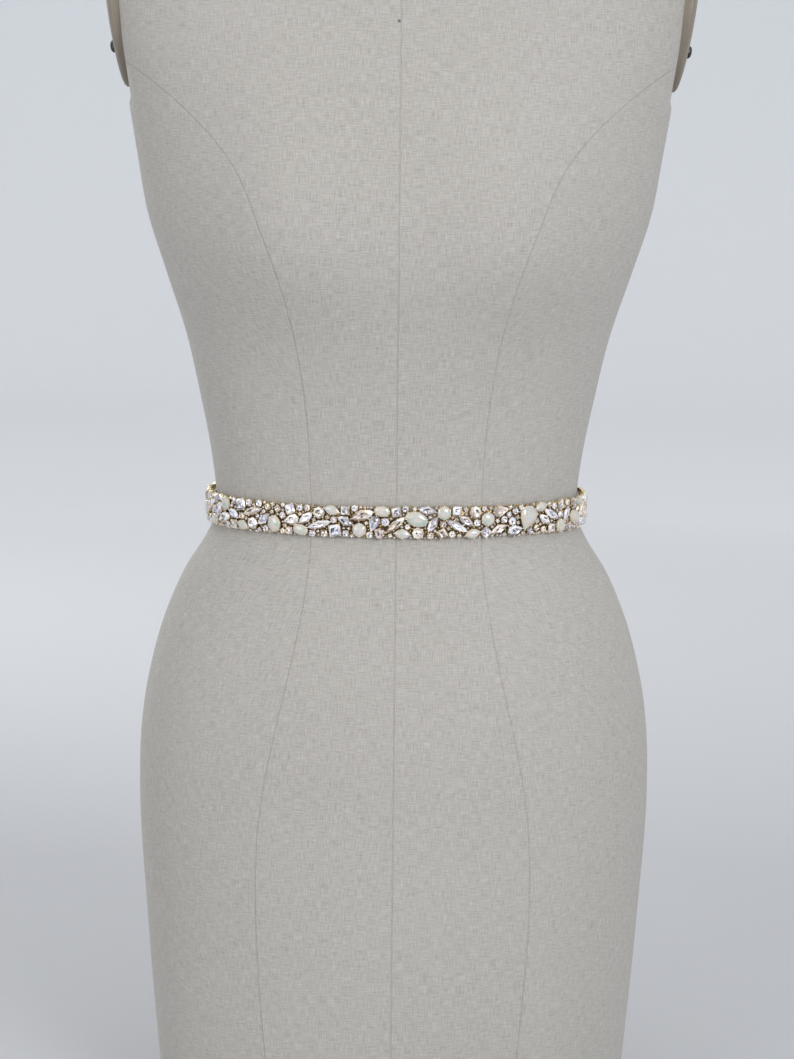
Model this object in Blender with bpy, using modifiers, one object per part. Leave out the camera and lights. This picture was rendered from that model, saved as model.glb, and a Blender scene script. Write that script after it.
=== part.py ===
"""Bridal sash on a dress form.

A satin ribbon goes round the waist of a limbless dress form and is tied behind.
A jewelled trim is sewn on it across the front and round both sides.
Metres, +Z up. The form stands on the floor at z = 0 and faces -Y.
"""
import math

import bmesh
import bpy
import numpy as np
from mathutils import Vector

MM = 0.001
SEAM_GAP = 0.3 * MM

# Dress form, a row for each level: height, half width, front and back from the axis, squareness
WAIST_HEIGHT = 0.400
FORM_LEVELS = (
    (0.000, 0.1490, 0.1000, 0.1060, 2.15),
    (0.055, 0.1545, 0.1050, 0.1130, 2.15),
    (0.135, 0.1610, 0.1090, 0.1230, 2.15),
    (0.215, 0.1655, 0.1100, 0.1280, 2.15),
    (0.255, 0.1640, 0.1100, 0.1230, 2.15),
    (0.295, 0.1575, 0.1070, 0.1110, 2.15),
    (0.335, 0.1455, 0.1000, 0.0995, 2.15),
    (0.360, 0.1340, 0.0945, 0.0915, 2.15),
    (0.378, 0.1225, 0.0900, 0.0865, 2.15),
    (0.392, 0.1162, 0.0880, 0.0845, 2.15),
    (0.400, 0.1150, 0.0875, 0.0840, 2.15),
    (0.408, 0.1152, 0.0877, 0.0842, 2.15),
    (0.432, 0.1180, 0.0895, 0.0865, 2.15),
    (0.471, 0.1255, 0.0950, 0.0925, 2.15),
    (0.509, 0.1340, 0.1025, 0.0970, 2.15),
    (0.547, 0.1460, 0.1090, 0.0990, 2.20),
    (0.585, 0.1580, 0.1090, 0.0995, 2.25),
    (0.622, 0.1645, 0.1050, 0.0990, 2.35),
    (0.662, 0.1715, 0.0990, 0.0980, 2.40),
    (0.700, 0.1800, 0.0900, 0.0955, 2.45),
    (0.735, 0.1860, 0.0780, 0.0910, 2.50),
    (0.762, 0.1870, 0.0620, 0.0840, 2.50),
    (0.775, 0.1820, 0.0500, 0.0780, 2.50),
    (0.784, 0.1660, 0.0425, 0.0720, 2.45),
    (0.796, 0.1300, 0.0370, 0.0680, 2.35),
    (0.808, 0.0970, 0.0345, 0.0670, 2.20),
    (0.819, 0.0740, 0.0340, 0.0680, 2.10),
    (0.831, 0.0610, 0.0345, 0.0695, 2.00),
    (0.846, 0.0555, 0.0355, 0.0715, 2.00),
    (0.878, 0.0540, 0.0360, 0.0720, 2.00),
)
FORM_SIDES = 42
LEVEL_SPACING = 0.034
HEM_ROUNDING = 4 * MM

# Bust of the form
BUST_HEIGHT = 0.572
BUST_APART = 0.070
BUST_RISE = 0.022
BUST_WIDE = 0.058
BUST_BELOW = 0.055
BUST_ABOVE = 0.080

# Armholes: flat sides that lean out a little, and the plates on them
ARMHOLE_BOTTOM = 0.655
ARMHOLE_HALF_WIDTH = 0.1686
ARMHOLE_LEAN = 0.12
ARMHOLE_FADE = 1.2
ARMHOLE_EASE = 6 * MM
PLATE_HEIGHT = 0.716
PLATE_BACK = 0.006
PLATE_HALF_DEPTH = 0.040
PLATE_HALF_HEIGHT = 0.054
PLATE_SIDES = 28
PLATE_PROFILE = ((1.0, 0.0), (1.0, 2.6), (0.965, 3.8), (0.80, 5.6), (0.45, 7.2), (0.12, 7.8))

# Neck cap, a turned profile from the crown down: radius and height in mm
CAP_CENTRE_Y = 0.018
CAP_PROFILE = ((0.0, 19.0), (14.0, 18.4), (30.0, 15.8), (44.0, 12.0), (53.0, 8.4), (56.5, 5.0),
               (57.0, 2.5), (56.0, 0.0), (0.0, 0.0))

# Ribbon
RIBBON_WIDTH = 16 * MM
RIBBON_THICK = 1.0 * MM
RIBBON_GAP = 0.4 * MM
RIBBON_SIDES = 72

# Jewelled trim: a backing on the ribbon with stones in raised settings
TRIM_WIDTH = 20.4 * MM
BACKING_WIDTH = 16.5 * MM
BACKING_THICK = 1.1 * MM
BACKING_STEP = 7 * MM
REPEAT = 139.0
STONE_SINK = 0.6 * MM
STONE_SPACE = 0.25
CUP_SHARE = 0.55
TABLE_SHARE = 0.55
BAND_SAMPLES = 1441
BAND_TURN = 0.004
SETTLE_ROUNDS = 300
SETTLE_PUSH = 0.5
SETTLE_PULL = 0.01
SEARCH_STEP = 0.5
SMALL_STONES = (4.6, 3.8, 3.0)
SMALL_RISE = 2.0
SMALL_TABLE = 0.72

# Outlines: how pointed a marquise is, how wide a pear comes out, how round a square is,
# and half the turn that cuts off a triangle's corner
MARQUISE_POINT = 0.7
PEAR_WIDTH = 0.77
SQUARE_POWER = 0.5
CORNER_CUT = 0.30

# Discs that stand for a stone while stones are kept apart: their places along a long stone,
# and how much of a compact stone's width its one disc takes
DISC_PLACES = (-0.78, -0.45, 0.0, 0.45, 0.78)
DISC_SHARES = {"round": 1.0, "square": 1.1, "triangle": 0.86}

# Stones: outline, length, width and rise in mm, sides
STONES = {
    "brilliant": ("round", 7.8, 7.8, 3.1, 8),
    "chaton": ("round", 4.6, 4.6, 2.3, 6),
    "navette": ("marquise", 15.2, 7.4, 3.0, 8),
    "slim": ("marquise", 15.6, 5.3, 2.7, 8),
    "leaf": ("marquise", 11.0, 5.8, 2.6, 6),
    "drop": ("pear", 10.8, 7.2, 2.9, 8),
    "cushion": ("square", 7.8, 7.8, 3.0, 8),
    "tile": ("square", 6.1, 6.1, 2.6, 8),
    "trilliant": ("triangle", 8.4, 8.4, 2.8, 6),
    "opal_round": ("round", 8.8, 8.8, 3.3, 8),
    "opal_oval": ("round", 10.2, 7.0, 3.0, 8),
    "opal_wide": ("round", 10.8, 9.0, 3.4, 8),
    "opal_large": ("round", 14.4, 9.4, 3.5, 10),
    "opal_leaf": ("marquise", 10.6, 6.2, 2.8, 8),
    "opal_pear": ("pear", 16.0, 12.4, 3.8, 10),
}

# One repeat of the trim: stone, place along the band, place up it, turn in degrees
CHART = (
    ("tile", -65.4, 6.2, 20),
    ("drop", -63.6, -0.8, 195),
    ("chaton", -66.0, -7.2, 0),
    ("opal_oval", -58.2, -6.2, -12),
    ("chaton", -59.4, 7.4, 0),
    ("leaf", -54.6, 1.8, 38),
    ("brilliant", -47.2, 5.6, 0),
    ("slim", -46.8, -3.4, 16),
    ("chaton", -51.0, -7.6, 0),
    ("chaton", -43.6, -7.6, 0),
    ("opal_leaf", -38.6, 6.4, -16),
    ("chaton", -37.0, 0.8, 0),
    ("cushion", -36.6, -5.6, 10),
    ("tile", -29.8, 6.6, 0),
    ("leaf", -30.0, 0.6, -24),
    ("chaton", -30.4, -7.4, 0),
    ("opal_round", -22.4, -4.6, 0),
    ("navette", -20.4, 4.8, 18),
    ("chaton", -25.6, 7.4, 0),
    ("chaton", -15.4, -7.4, 0),
    ("drop", -14.0, -0.6, 250),
    ("trilliant", -8.6, -5.8, 30),
    ("opal_oval", -8.4, 5.8, -8),
    ("chaton", -6.6, 0.2, 0),
    ("slim", -0.4, -1.6, 40),
    ("tile", 0.6, 7.0, 10),
    ("opal_leaf", 3.8, -7.0, -6),
    ("opal_large", 10.8, 1.6, -18),
    ("chaton", 6.6, 7.6, 0),
    ("brilliant", 13.4, -6.2, 0),
    ("leaf", 18.0, 6.8, -10),
    ("chaton", 20.2, -7.4, 0),
    ("leaf", 22.4, -1.2, 58),
    ("opal_round", 29.2, 5.0, 0),
    ("tile", 28.0, -6.2, 30),
    ("chaton", 30.0, -1.8, 0),
    ("slim", 37.2, -4.2, -28),
    ("tile", 36.4, 6.8, 0),
    ("leaf", 41.6, 2.0, -34),
    ("opal_leaf", 46.2, -6.6, 14),
    ("brilliant", 48.0, 5.8, 0),
    ("chaton", 49.4, -0.6, 0),
    ("tile", 54.0, -6.0, 45),
    ("opal_round", 57.0, 2.0, 0),
    ("leaf", 63.0, -4.6, 24),
    ("drop", 64.0, 6.0, 10),
    ("chaton", 66.6, 0.4, 0),
)

# Large opals, once each: stone, place along the band, place up it, turn in degrees
ACCENTS = (
    ("opal_wide", -76.5, -3.4, 105),
    ("opal_pear", 84.0, 1.4, 250),
)

# Knot and tails at the back
KNOT_HALF_WIDTH = 11 * MM
KNOT_HALF_HEIGHT = 11 * MM
KNOT_DEPTH = 11 * MM
KNOT_ROUNDNESS = 0.38
KNOT_FLAT = 0.55
KNOT_NARROWING = 0.12
KNOT_FOLDS = 3
KNOT_FOLD_DEPTH = 0.09
KNOT_FOLD_SLANT = 0.35
TAIL_LENGTH = 0.300
TAIL_STEP = 0.012
TAIL_GATHER = 5.4 * MM
TAIL_GATHER_LENGTH = 0.022
TAIL_SPREAD = 0.026
TAIL_OFF_FORM = 0.9 * MM
TAIL_START_OUT = 4.5 * MM
TAIL_WAVE = 2.2 * MM
TAIL_SLANT = 9 * MM

# Base colour, roughness and metallic value of each finish
FINISHES = {
    "linen": ((0.50, 0.47, 0.44), 0.85, 0.0),
    "satin": ((0.80, 0.77, 0.71), 0.38, 0.0),
    "gold": ((0.62, 0.47, 0.27), 0.30, 1.0),
    "painted": ((0.42, 0.42, 0.40), 0.45, 0.0),
}


def power(value, exponent):
    """Keep the sign of a value while its size is raised to a power."""
    return math.copysign(abs(value) ** exponent, value)


def form_level(height):
    """Read the form's half width, half depth, middle and squareness at a height."""
    table = np.array(FORM_LEVELS)
    heights = table[:, 0]
    place = min(max(height, heights[0]), heights[-1])
    row = min(max(int(np.searchsorted(heights, place, side="right")) - 1, 0), len(heights) - 2)
    slopes = np.gradient(table[:, 1:], heights, axis=0)
    run = heights[row + 1] - heights[row]
    t = (place - heights[row]) / run
    low, high = table[row, 1:], table[row + 1, 1:]
    width, front, back, squareness = (
        low * (1 + 2 * t) * (1 - t) ** 2
        + slopes[row] * run * t * (1 - t) ** 2
        + high * t * t * (3 - 2 * t)
        + slopes[row + 1] * run * t * t * (t - 1)
    )
    return width, (front + back) / 2, (back - front) / 2, squareness


def armhole_side(height):
    """Half width of the form's flat side, which only reaches down to the armhole."""
    below = max(0.0, ARMHOLE_BOTTOM - height)
    return ARMHOLE_HALF_WIDTH + ARMHOLE_LEAN * (height - ARMHOLE_BOTTOM) + ARMHOLE_FADE * below


def soft_min(first, second, ease):
    """The smaller of two values, with a rounded change from one to the other."""
    share = max(ease - abs(first - second), 0.0) / ease
    return min(first, second) - share * share * ease / 4


def bust(side, height):
    """How far the bust stands out at a place across the front."""
    reach = BUST_BELOW if height < BUST_HEIGHT else BUST_ABOVE
    across = sum(math.exp(-(((side - apart) / BUST_WIDE) ** 2)) for apart in (-BUST_APART, BUST_APART))
    return BUST_RISE * across * math.exp(-(((height - BUST_HEIGHT) / reach) ** 2))


def form_point(angle, height, out=0.0, inset=0.0):
    """A point round the form: angle 0 is +X and a quarter turn back is the front."""
    width, depth, middle, squareness = form_level(height)
    width -= inset
    depth -= inset
    x = width * power(math.cos(angle), 2 / squareness)
    y = depth * power(math.sin(angle), 2 / squareness)
    away = Vector((power(x / width, squareness - 1) / width,
                   power(y / depth, squareness - 1) / depth)).normalized()
    x += out * away.x
    y += out * away.y
    x = math.copysign(soft_min(abs(x), armhole_side(height) + out, ARMHOLE_EASE), x)
    y -= bust(x, height) * max(0.0, -away.y)
    return Vector((x, y + middle, height))


def loft(name, sections, finish, cyclic=False, smooth_angle=None):
    """Join like sections, each a loop of points, into one closed body."""
    mesh = bpy.data.meshes.new(name)
    bm = bmesh.new()
    loops = [[bm.verts.new(point) for point in section] for section in sections]
    pairs = list(zip(loops, loops[1:]))
    if cyclic:
        pairs.append((loops[-1], loops[0]))
    for first, second in pairs:
        for step in range(len(first)):
            after = (step + 1) % len(first)
            bm.faces.new((first[step], first[after], second[after], second[step]))
    if not cyclic:
        bm.faces.new(loops[0])
        bm.faces.new(loops[-1])
    bmesh.ops.recalc_face_normals(bm, faces=bm.faces)
    bm.to_mesh(mesh)
    bm.free()
    return add_part(name, mesh, finish, smooth_angle)


def material(finish):
    """The material of a finish, made once."""
    found = bpy.data.materials.get(finish)
    if found:
        return found
    colour, roughness, metallic = FINISHES[finish]
    made = bpy.data.materials.new(finish)
    made.use_nodes = True
    shader = made.node_tree.nodes["Principled BSDF"]
    shader.inputs["Base Color"].default_value = (*colour, 1.0)
    shader.inputs["Roughness"].default_value = roughness
    shader.inputs["Metallic"].default_value = metallic
    return made


def collection(name):
    """The collection of a name, made once."""
    found = bpy.data.collections.get(name)
    if not found:
        found = bpy.data.collections.new(name)
        bpy.context.scene.collection.children.link(found)
    return found


def add_part(name, mesh, finish, smooth_angle=None):
    """Place a mesh in the scene as a part of the sash."""
    mesh.materials.append(material(finish).copy())
    if smooth_angle is not None:
        mesh.shade_smooth()
        mesh.set_sharp_from_angle(angle=math.radians(smooth_angle))
    part = bpy.data.objects.new(name, mesh)
    collection("bridal_sash").objects.link(part)
    return part


def turn_angles(sides):
    """Even angles round the form, starting at the front."""
    return [2 * math.pi * step / sides - math.pi / 2 for step in range(sides)]


def form_heights():
    """Heights of the form's sections: every level, and more where levels are far apart."""
    heights = []
    for low, high in zip(FORM_LEVELS, FORM_LEVELS[1:]):
        parts = math.ceil((high[0] - low[0]) / LEVEL_SPACING)
        heights += [low[0] + (high[0] - low[0]) * part / parts for part in range(parts)]
    return heights + [FORM_LEVELS[-1][0]]


def make_dress_form():
    """Torso and neck in one, with a flat base whose edge is rounded."""
    angles = turn_angles(FORM_SIDES)
    base = [form_point(angle, 0.0, inset=HEM_ROUNDING / 2) for angle in angles]
    sections = [base]
    for height in form_heights():
        level = max(height, HEM_ROUNDING)
        sections.append([form_point(angle, level) for angle in angles])
    loft("dress_form", sections, "linen", smooth_angle=50)


def make_arm_plates():
    """A domed oval plate on each armhole."""
    for name, side in (("arm_plate_left", -1), ("arm_plate_right", 1)):
        sections = []
        for share, rise in PLATE_PROFILE:
            section = []
            for step in range(PLATE_SIDES):
                turn = 2 * math.pi * step / PLATE_SIDES
                y = PLATE_BACK + PLATE_HALF_DEPTH * share * math.cos(turn)
                z = PLATE_HEIGHT + PLATE_HALF_HEIGHT * share * math.sin(turn)
                x = armhole_side(z) + SEAM_GAP + rise * MM
                section.append(Vector((side * x, y, z)))
            sections.append(section)
        loft(name, sections, "painted", smooth_angle=50)


def make_neck_cap():
    """A turned cap that stands on the neck."""
    mesh = bpy.data.meshes.new("neck_cap")
    points = [(radius * MM, 0.0, height * MM) for radius, height in CAP_PROFILE]
    edges = [(step, step + 1) for step in range(len(points) - 1)]
    mesh.from_pydata(points, edges, [])
    cap = add_part("neck_cap", mesh, "painted")
    cap.location = (0.0, CAP_CENTRE_Y, FORM_LEVELS[-1][0] + SEAM_GAP)
    turned = cap.modifiers.new("turned", "SCREW")
    turned.steps = 40
    turned.render_steps = 40
    turned.use_merge_vertices = True
    turned.merge_threshold = 0.00001
    turned.use_smooth_shade = True


def wall_section(angle, inner, thick, heights):
    """A loop round a wall's section: up its inner side and down its outer side."""
    inside = [form_point(angle, height, inner) for height in heights]
    outside = [form_point(angle, height, inner + thick) for height in heights]
    return inside + outside[::-1]


def make_ribbon_band():
    """The ribbon round the waist, made from the form's points, moved out."""
    heights = [WAIST_HEIGHT + RIBBON_WIDTH * share for share in (-0.5, 0.0, 0.5)]
    sections = [wall_section(angle, RIBBON_GAP, RIBBON_THICK, heights)
                for angle in turn_angles(RIBBON_SIDES)]
    loft("ribbon_band", sections, "satin", cyclic=True, smooth_angle=40)


class Band:
    """The trim's path: a level line round the waist, clear of the ribbon's wider edges."""

    def __init__(self):
        self.inner = RIBBON_GAP + RIBBON_THICK + SEAM_GAP
        self.edge = WAIST_HEIGHT - RIBBON_WIDTH / 2
        angles = np.linspace(-1.5 * math.pi, 0.5 * math.pi, BAND_SAMPLES)
        points = np.array([form_point(angle, self.edge, self.inner)[:2] for angle in angles])
        steps = np.hypot(*np.diff(points, axis=0).T)
        along = np.concatenate(([0.0], np.cumsum(steps)))
        self.angles = angles
        self.along = along - along[len(along) // 2]

    def frame(self, along):
        """Place, direction along and direction outward at a distance from the front."""
        angle = float(np.interp(along, self.along, self.angles))
        place = form_point(angle, self.edge, self.inner)
        place.z = WAIST_HEIGHT
        before = form_point(angle - BAND_TURN, self.edge, self.inner)
        after = form_point(angle + BAND_TURN, self.edge, self.inner)
        ahead = (after - before).normalized()
        return place, ahead, Vector((ahead.y, -ahead.x, 0.0))

    def point(self, along, up, out):
        """A point of the trim from its distances along, up and out, in metres."""
        place, _, away = self.frame(along)
        return place + away * out + Vector((0.0, 0.0, up))


def outline(shape, length, width, sides):
    """A stone's outline with its long axis along x, as an array of points."""
    turns = np.arange(sides) * 2 * math.pi / sides
    if shape == "triangle":
        corners = np.floor(np.arange(sides) * 3 / sides)
        within = np.arange(sides) * 3 / sides - corners
        turns = corners * 2 * math.pi / 3 + CORNER_CUT * (4 * within - 1)
    if shape == "square":
        turns = turns + math.pi / sides
    x, y = np.cos(turns), np.sin(turns)
    if shape == "marquise":
        y = y * np.abs(y) ** MARQUISE_POINT
    elif shape == "pear":
        y = y * np.sqrt((1 - x) / 2) / PEAR_WIDTH
    elif shape == "square":
        x = np.sign(x) * np.abs(x) ** SQUARE_POWER
        y = np.sign(y) * np.abs(y) ** SQUARE_POWER
    return np.column_stack((x * length / 2, y * width / 2))


def stone_discs(shape, length, width):
    """Discs that cover a stone, for keeping stones apart: offset along it and radius."""
    if length == width:
        return [(0.0, width / 2 * DISC_SHARES[shape])]
    edge = outline(shape, length, width, 72)
    discs = []
    for share in DISC_PLACES:
        offset = share * length / 2
        discs.append((offset, float(np.hypot(edge[:, 0] - offset, edge[:, 1]).min())))
    return discs


def charted_stones():
    """Stones of three repeats, the outer two turned end for end, with the large opals."""
    stones = [list(row) for row in ACCENTS]
    for copy, flip in ((-1, -1), (0, 1), (1, -1)):
        for kind, along, up, turn in CHART:
            place = copy * REPEAT + flip * along
            close = any(abs(place - row[1]) < STONES[row[0]][2] / 2 + 2.0 for row in ACCENTS)
            if not close:
                stones.append([kind, place, flip * up, turn])
    return stones


def settle(stones):
    """Nudge stones apart until each has its own place inside the trim's edges."""
    owners, offsets, radii = [], [], []
    for number, (kind, _, _, turn) in enumerate(stones):
        shape, length, width, _, _ = STONES[kind]
        for offset, radius in stone_discs(shape, length, width):
            heading = math.radians(turn)
            owners.append(number)
            offsets.append((offset * math.cos(heading), offset * math.sin(heading)))
            radii.append(radius)
    owners = np.array(owners)
    offsets = np.array(offsets)
    radii = np.array(radii)
    charted = np.array([(row[1], row[2]) for row in stones])
    places = charted.copy()
    limit = TRIM_WIDTH / MM / 2
    counts = np.bincount(owners)
    for _ in range(SETTLE_ROUNDS):
        discs = places[owners] + offsets
        apart = discs[:, None, :] - discs[None, :, :]
        distance = np.hypot(apart[..., 0], apart[..., 1]) + 1e-9
        overlap = radii[:, None] + radii[None, :] + STONE_SPACE - distance
        overlap[owners[:, None] == owners[None, :]] = 0.0
        push = (apart / distance[..., None] * np.maximum(overlap, 0.0)[..., None]).sum(axis=1) / 2
        over = np.maximum(np.abs(discs[:, 1]) + radii - limit, 0.0)
        push[:, 1] -= np.sign(discs[:, 1]) * over
        moved = np.zeros_like(places)
        np.add.at(moved, owners, push)
        places += moved / np.sqrt(counts)[:, None] * SETTLE_PUSH
        places += (charted - places) * SETTLE_PULL
    discs = places[owners] + offsets
    settled = [[row[0], place[0], place[1], row[3]] for row, place in zip(stones, places)]
    return settled, discs, radii


def small_stones(discs, radii):
    """Round stones for the holes that are left, the widest hole first."""
    half = REPEAT * 1.5
    limit = TRIM_WIDTH / MM / 2
    along, up = np.meshgrid(np.arange(-half, half, SEARCH_STEP), np.arange(-limit, limit, SEARCH_STEP),
                            indexing="ij")
    room = limit - np.abs(up)
    room = np.minimum(room, half - np.abs(along))
    for (x, y), radius in zip(discs, radii):
        room = np.minimum(room, np.hypot(along - x, up - y) - radius)
    found = []
    while True:
        best = np.unravel_index(np.argmax(room), room.shape)
        fitting = [size for size in SMALL_STONES if size / 2 + STONE_SPACE <= room[best]]
        if not fitting:
            return found
        found.append((fitting[0], float(along[best]), float(up[best])))
        gone = np.hypot(along - along[best], up - up[best]) - fitting[0] / 2
        room = np.minimum(room, gone)


def add_setting(bm, band, edge, along, up, turn, rise):
    """A stone in its cup: straight sides, then a crown that narrows to its table.

    The small ones, with six sides or fewer, narrow evenly from their base.
    """
    heading = math.radians(turn)
    small = len(edge) <= 6
    levels = [
        (BACKING_THICK - STONE_SINK, 1.0),
        (BACKING_THICK + rise * MM * CUP_SHARE, 1.0),
        (BACKING_THICK + rise * MM, SMALL_TABLE if small else TABLE_SHARE),
    ]
    if small:
        del levels[1]
    loops = []
    place, ahead, away = band.frame(along * MM)
    for out, share in levels:
        loop = []
        for x, y in edge * share:
            side = x * math.cos(heading) - y * math.sin(heading)
            lift = x * math.sin(heading) + y * math.cos(heading)
            point = place + ahead * (side * MM) + away * out
            point.z += (up + lift) * MM
            loop.append(bm.verts.new(point))
        loops.append(loop)
    for first, second in zip(loops, loops[1:]):
        for step in range(len(first)):
            after = (step + 1) % len(first)
            bm.faces.new((first[step], first[after], second[after], second[step]))
    bm.faces.new(loops[0][::-1])
    bm.faces.new(loops[-1])


def make_jewel_trim():
    """The backing strip with every stone's setting joined to it."""
    band = Band()
    half = REPEAT * 1.5 * MM
    steps = round(2 * half / BACKING_STEP)
    sections = []
    for step in range(steps + 1):
        along = -half + 2 * half * step / steps
        corners = ((-1, 0.0), (-1, BACKING_THICK), (1, BACKING_THICK), (1, 0.0))
        sections.append([band.point(along, side * BACKING_WIDTH / 2, out) for side, out in corners])
    trim = loft("jewel_trim", sections, "gold")

    bm = bmesh.new()
    settled, discs, radii = settle(charted_stones())
    for kind, along, up, turn in settled:
        shape, length, width, rise, sides = STONES[kind]
        add_setting(bm, band, outline(shape, length, width, sides), along, up, turn, rise)
    for size, along, up in small_stones(discs, radii):
        add_setting(bm, band, outline("round", size, size, 6), along, up, 30, SMALL_RISE)
    bmesh.ops.recalc_face_normals(bm, faces=bm.faces)
    mesh = bpy.data.meshes.new("stone_settings")
    bm.to_mesh(mesh)
    bm.free()
    settings = bpy.data.objects.new("stone_settings", mesh)
    settings.hide_render = True
    settings.display_type = "WIRE"
    collection("cutters").objects.link(settings)

    joined = trim.modifiers.new("stones", "BOOLEAN")
    joined.operation = "UNION"
    joined.solver = "EXACT"
    joined.use_self = True
    joined.object = settings


def make_knot():
    """The knot: a rounded block with slanting folds, flat where it meets the ribbon."""
    bm = bmesh.new()
    bmesh.ops.create_uvsphere(bm, u_segments=28, v_segments=14, radius=1.0)
    lower_edge = WAIST_HEIGHT - RIBBON_WIDTH / 2
    seat = form_point(math.pi / 2, lower_edge, RIBBON_GAP + RIBBON_THICK + SEAM_GAP).y
    for vert in bm.verts:
        x, y, z = vert.co
        block = 1 + KNOT_ROUNDNESS * (1 / max(abs(x), abs(y), abs(z)) - 1)
        ripple = math.cos(KNOT_FOLDS * math.pi * (z + KNOT_FOLD_SLANT * x))
        fold = 1 - KNOT_FOLD_DEPTH * (1 - ripple) / 2
        out = max(y * block * fold, -KNOT_FLAT)
        vert.co = Vector((
            x * block * KNOT_HALF_WIDTH * (1 - KNOT_NARROWING * z * z),
            seat + (out + KNOT_FLAT) / (1 + KNOT_FLAT) * KNOT_DEPTH,
            WAIST_HEIGHT + max(-1.0, min(1.0, z * block)) * KNOT_HALF_HEIGHT,
        ))
    mesh = bpy.data.meshes.new("knot")
    bm.to_mesh(mesh)
    bm.free()
    add_part("knot", mesh, "satin", smooth_angle=60)


def back_surface(x, height):
    """The form's back at a place across it."""
    width, depth, middle, squareness = form_level(height)
    return middle + depth * (1 - abs(x / width) ** squareness) ** (1 / squareness)


def make_tails():
    """The ribbon's two ends: they lie down the back and hang plumb past its fullest place."""
    top = WAIST_HEIGHT - KNOT_HALF_HEIGHT - SEAM_GAP
    steps = round(TAIL_LENGTH / TAIL_STEP)
    shares = (-1.0, -0.5, 0.0, 0.5, 1.0)
    for name, side in (("tail_left", -1), ("tail_right", 1)):
        fullest = [0.0] * len(shares)
        sections = []
        for step in range(steps + 1):
            down = TAIL_LENGTH * step / steps
            gather = min(down / TAIL_GATHER_LENGTH, 1.0)
            half = TAIL_GATHER + (RIBBON_WIDTH / 2 - TAIL_GATHER) * gather * gather * (3 - 2 * gather)
            middle = side * (half + SEAM_GAP + TAIL_SPREAD * down / TAIL_LENGTH)
            inside, outside = [], []
            for column, share in enumerate(shares):
                x = middle + share * half
                slant = TAIL_SLANT * share * side * down / TAIL_LENGTH
                height = top - down - slant
                fullest[column] = max(fullest[column], back_surface(x, height))
                wave = TAIL_WAVE * math.sin(math.pi * down / TAIL_LENGTH * 2) ** 2 * (1 - share * share)
                y = fullest[column] + TAIL_OFF_FORM + wave
                y += TAIL_START_OUT * math.exp(-down / TAIL_GATHER_LENGTH * 2)
                inside.append(Vector((x, y, height)))
                outside.append(Vector((x, y + RIBBON_THICK, height)))
            sections.append(inside + outside[::-1])
        loft(name, sections, "satin", smooth_angle=50)


def main():
    """Clear the scene and make every part."""
    for old in list(bpy.data.objects):
        bpy.data.objects.remove(old, do_unlink=True)
    make_dress_form()
    make_arm_plates()
    make_neck_cap()
    make_ribbon_band()
    make_jewel_trim()
    make_knot()
    make_tails()


main()
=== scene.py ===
"""Looks of a bridal sash on a dress form, laid out as an add-on.

Each operator builds one piece, or a group of like pieces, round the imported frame.
Metres, +Z up, the dress form faces -Y. Sizes given in mm are turned into metres by MM.
"""

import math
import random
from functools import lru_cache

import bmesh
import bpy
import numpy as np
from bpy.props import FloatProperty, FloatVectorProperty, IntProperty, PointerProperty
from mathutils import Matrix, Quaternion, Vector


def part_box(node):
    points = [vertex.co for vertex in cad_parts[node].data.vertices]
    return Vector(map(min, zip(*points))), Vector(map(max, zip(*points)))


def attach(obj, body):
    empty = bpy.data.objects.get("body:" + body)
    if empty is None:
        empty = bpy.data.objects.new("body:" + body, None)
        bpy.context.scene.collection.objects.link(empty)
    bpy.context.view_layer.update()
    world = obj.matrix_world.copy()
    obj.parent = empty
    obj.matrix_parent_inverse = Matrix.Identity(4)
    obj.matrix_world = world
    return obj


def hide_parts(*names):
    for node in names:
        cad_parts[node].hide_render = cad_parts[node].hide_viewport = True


bl_info = {
    "name": "Bridal Sash Looks",
    "version": (1, 0, 0),
    "blender": (4, 5, 0),
    "location": "View3D > Sidebar > Sash",
    "description": "Builds a jewelled ribbon sash and its linen dress form round a packed frame",
    "category": "Object",
}

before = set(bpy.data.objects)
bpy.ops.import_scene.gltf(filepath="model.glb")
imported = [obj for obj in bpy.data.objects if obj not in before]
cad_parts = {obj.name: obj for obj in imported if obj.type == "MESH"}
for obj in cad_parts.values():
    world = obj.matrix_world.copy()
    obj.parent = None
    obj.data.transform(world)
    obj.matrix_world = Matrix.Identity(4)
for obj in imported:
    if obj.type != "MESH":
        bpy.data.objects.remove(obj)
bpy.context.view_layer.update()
FORM_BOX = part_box("dress_form")
KNOT_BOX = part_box("knot")

MM = 0.001
SEAM_GAP = 0.3 * MM
SEED = 11

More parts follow.
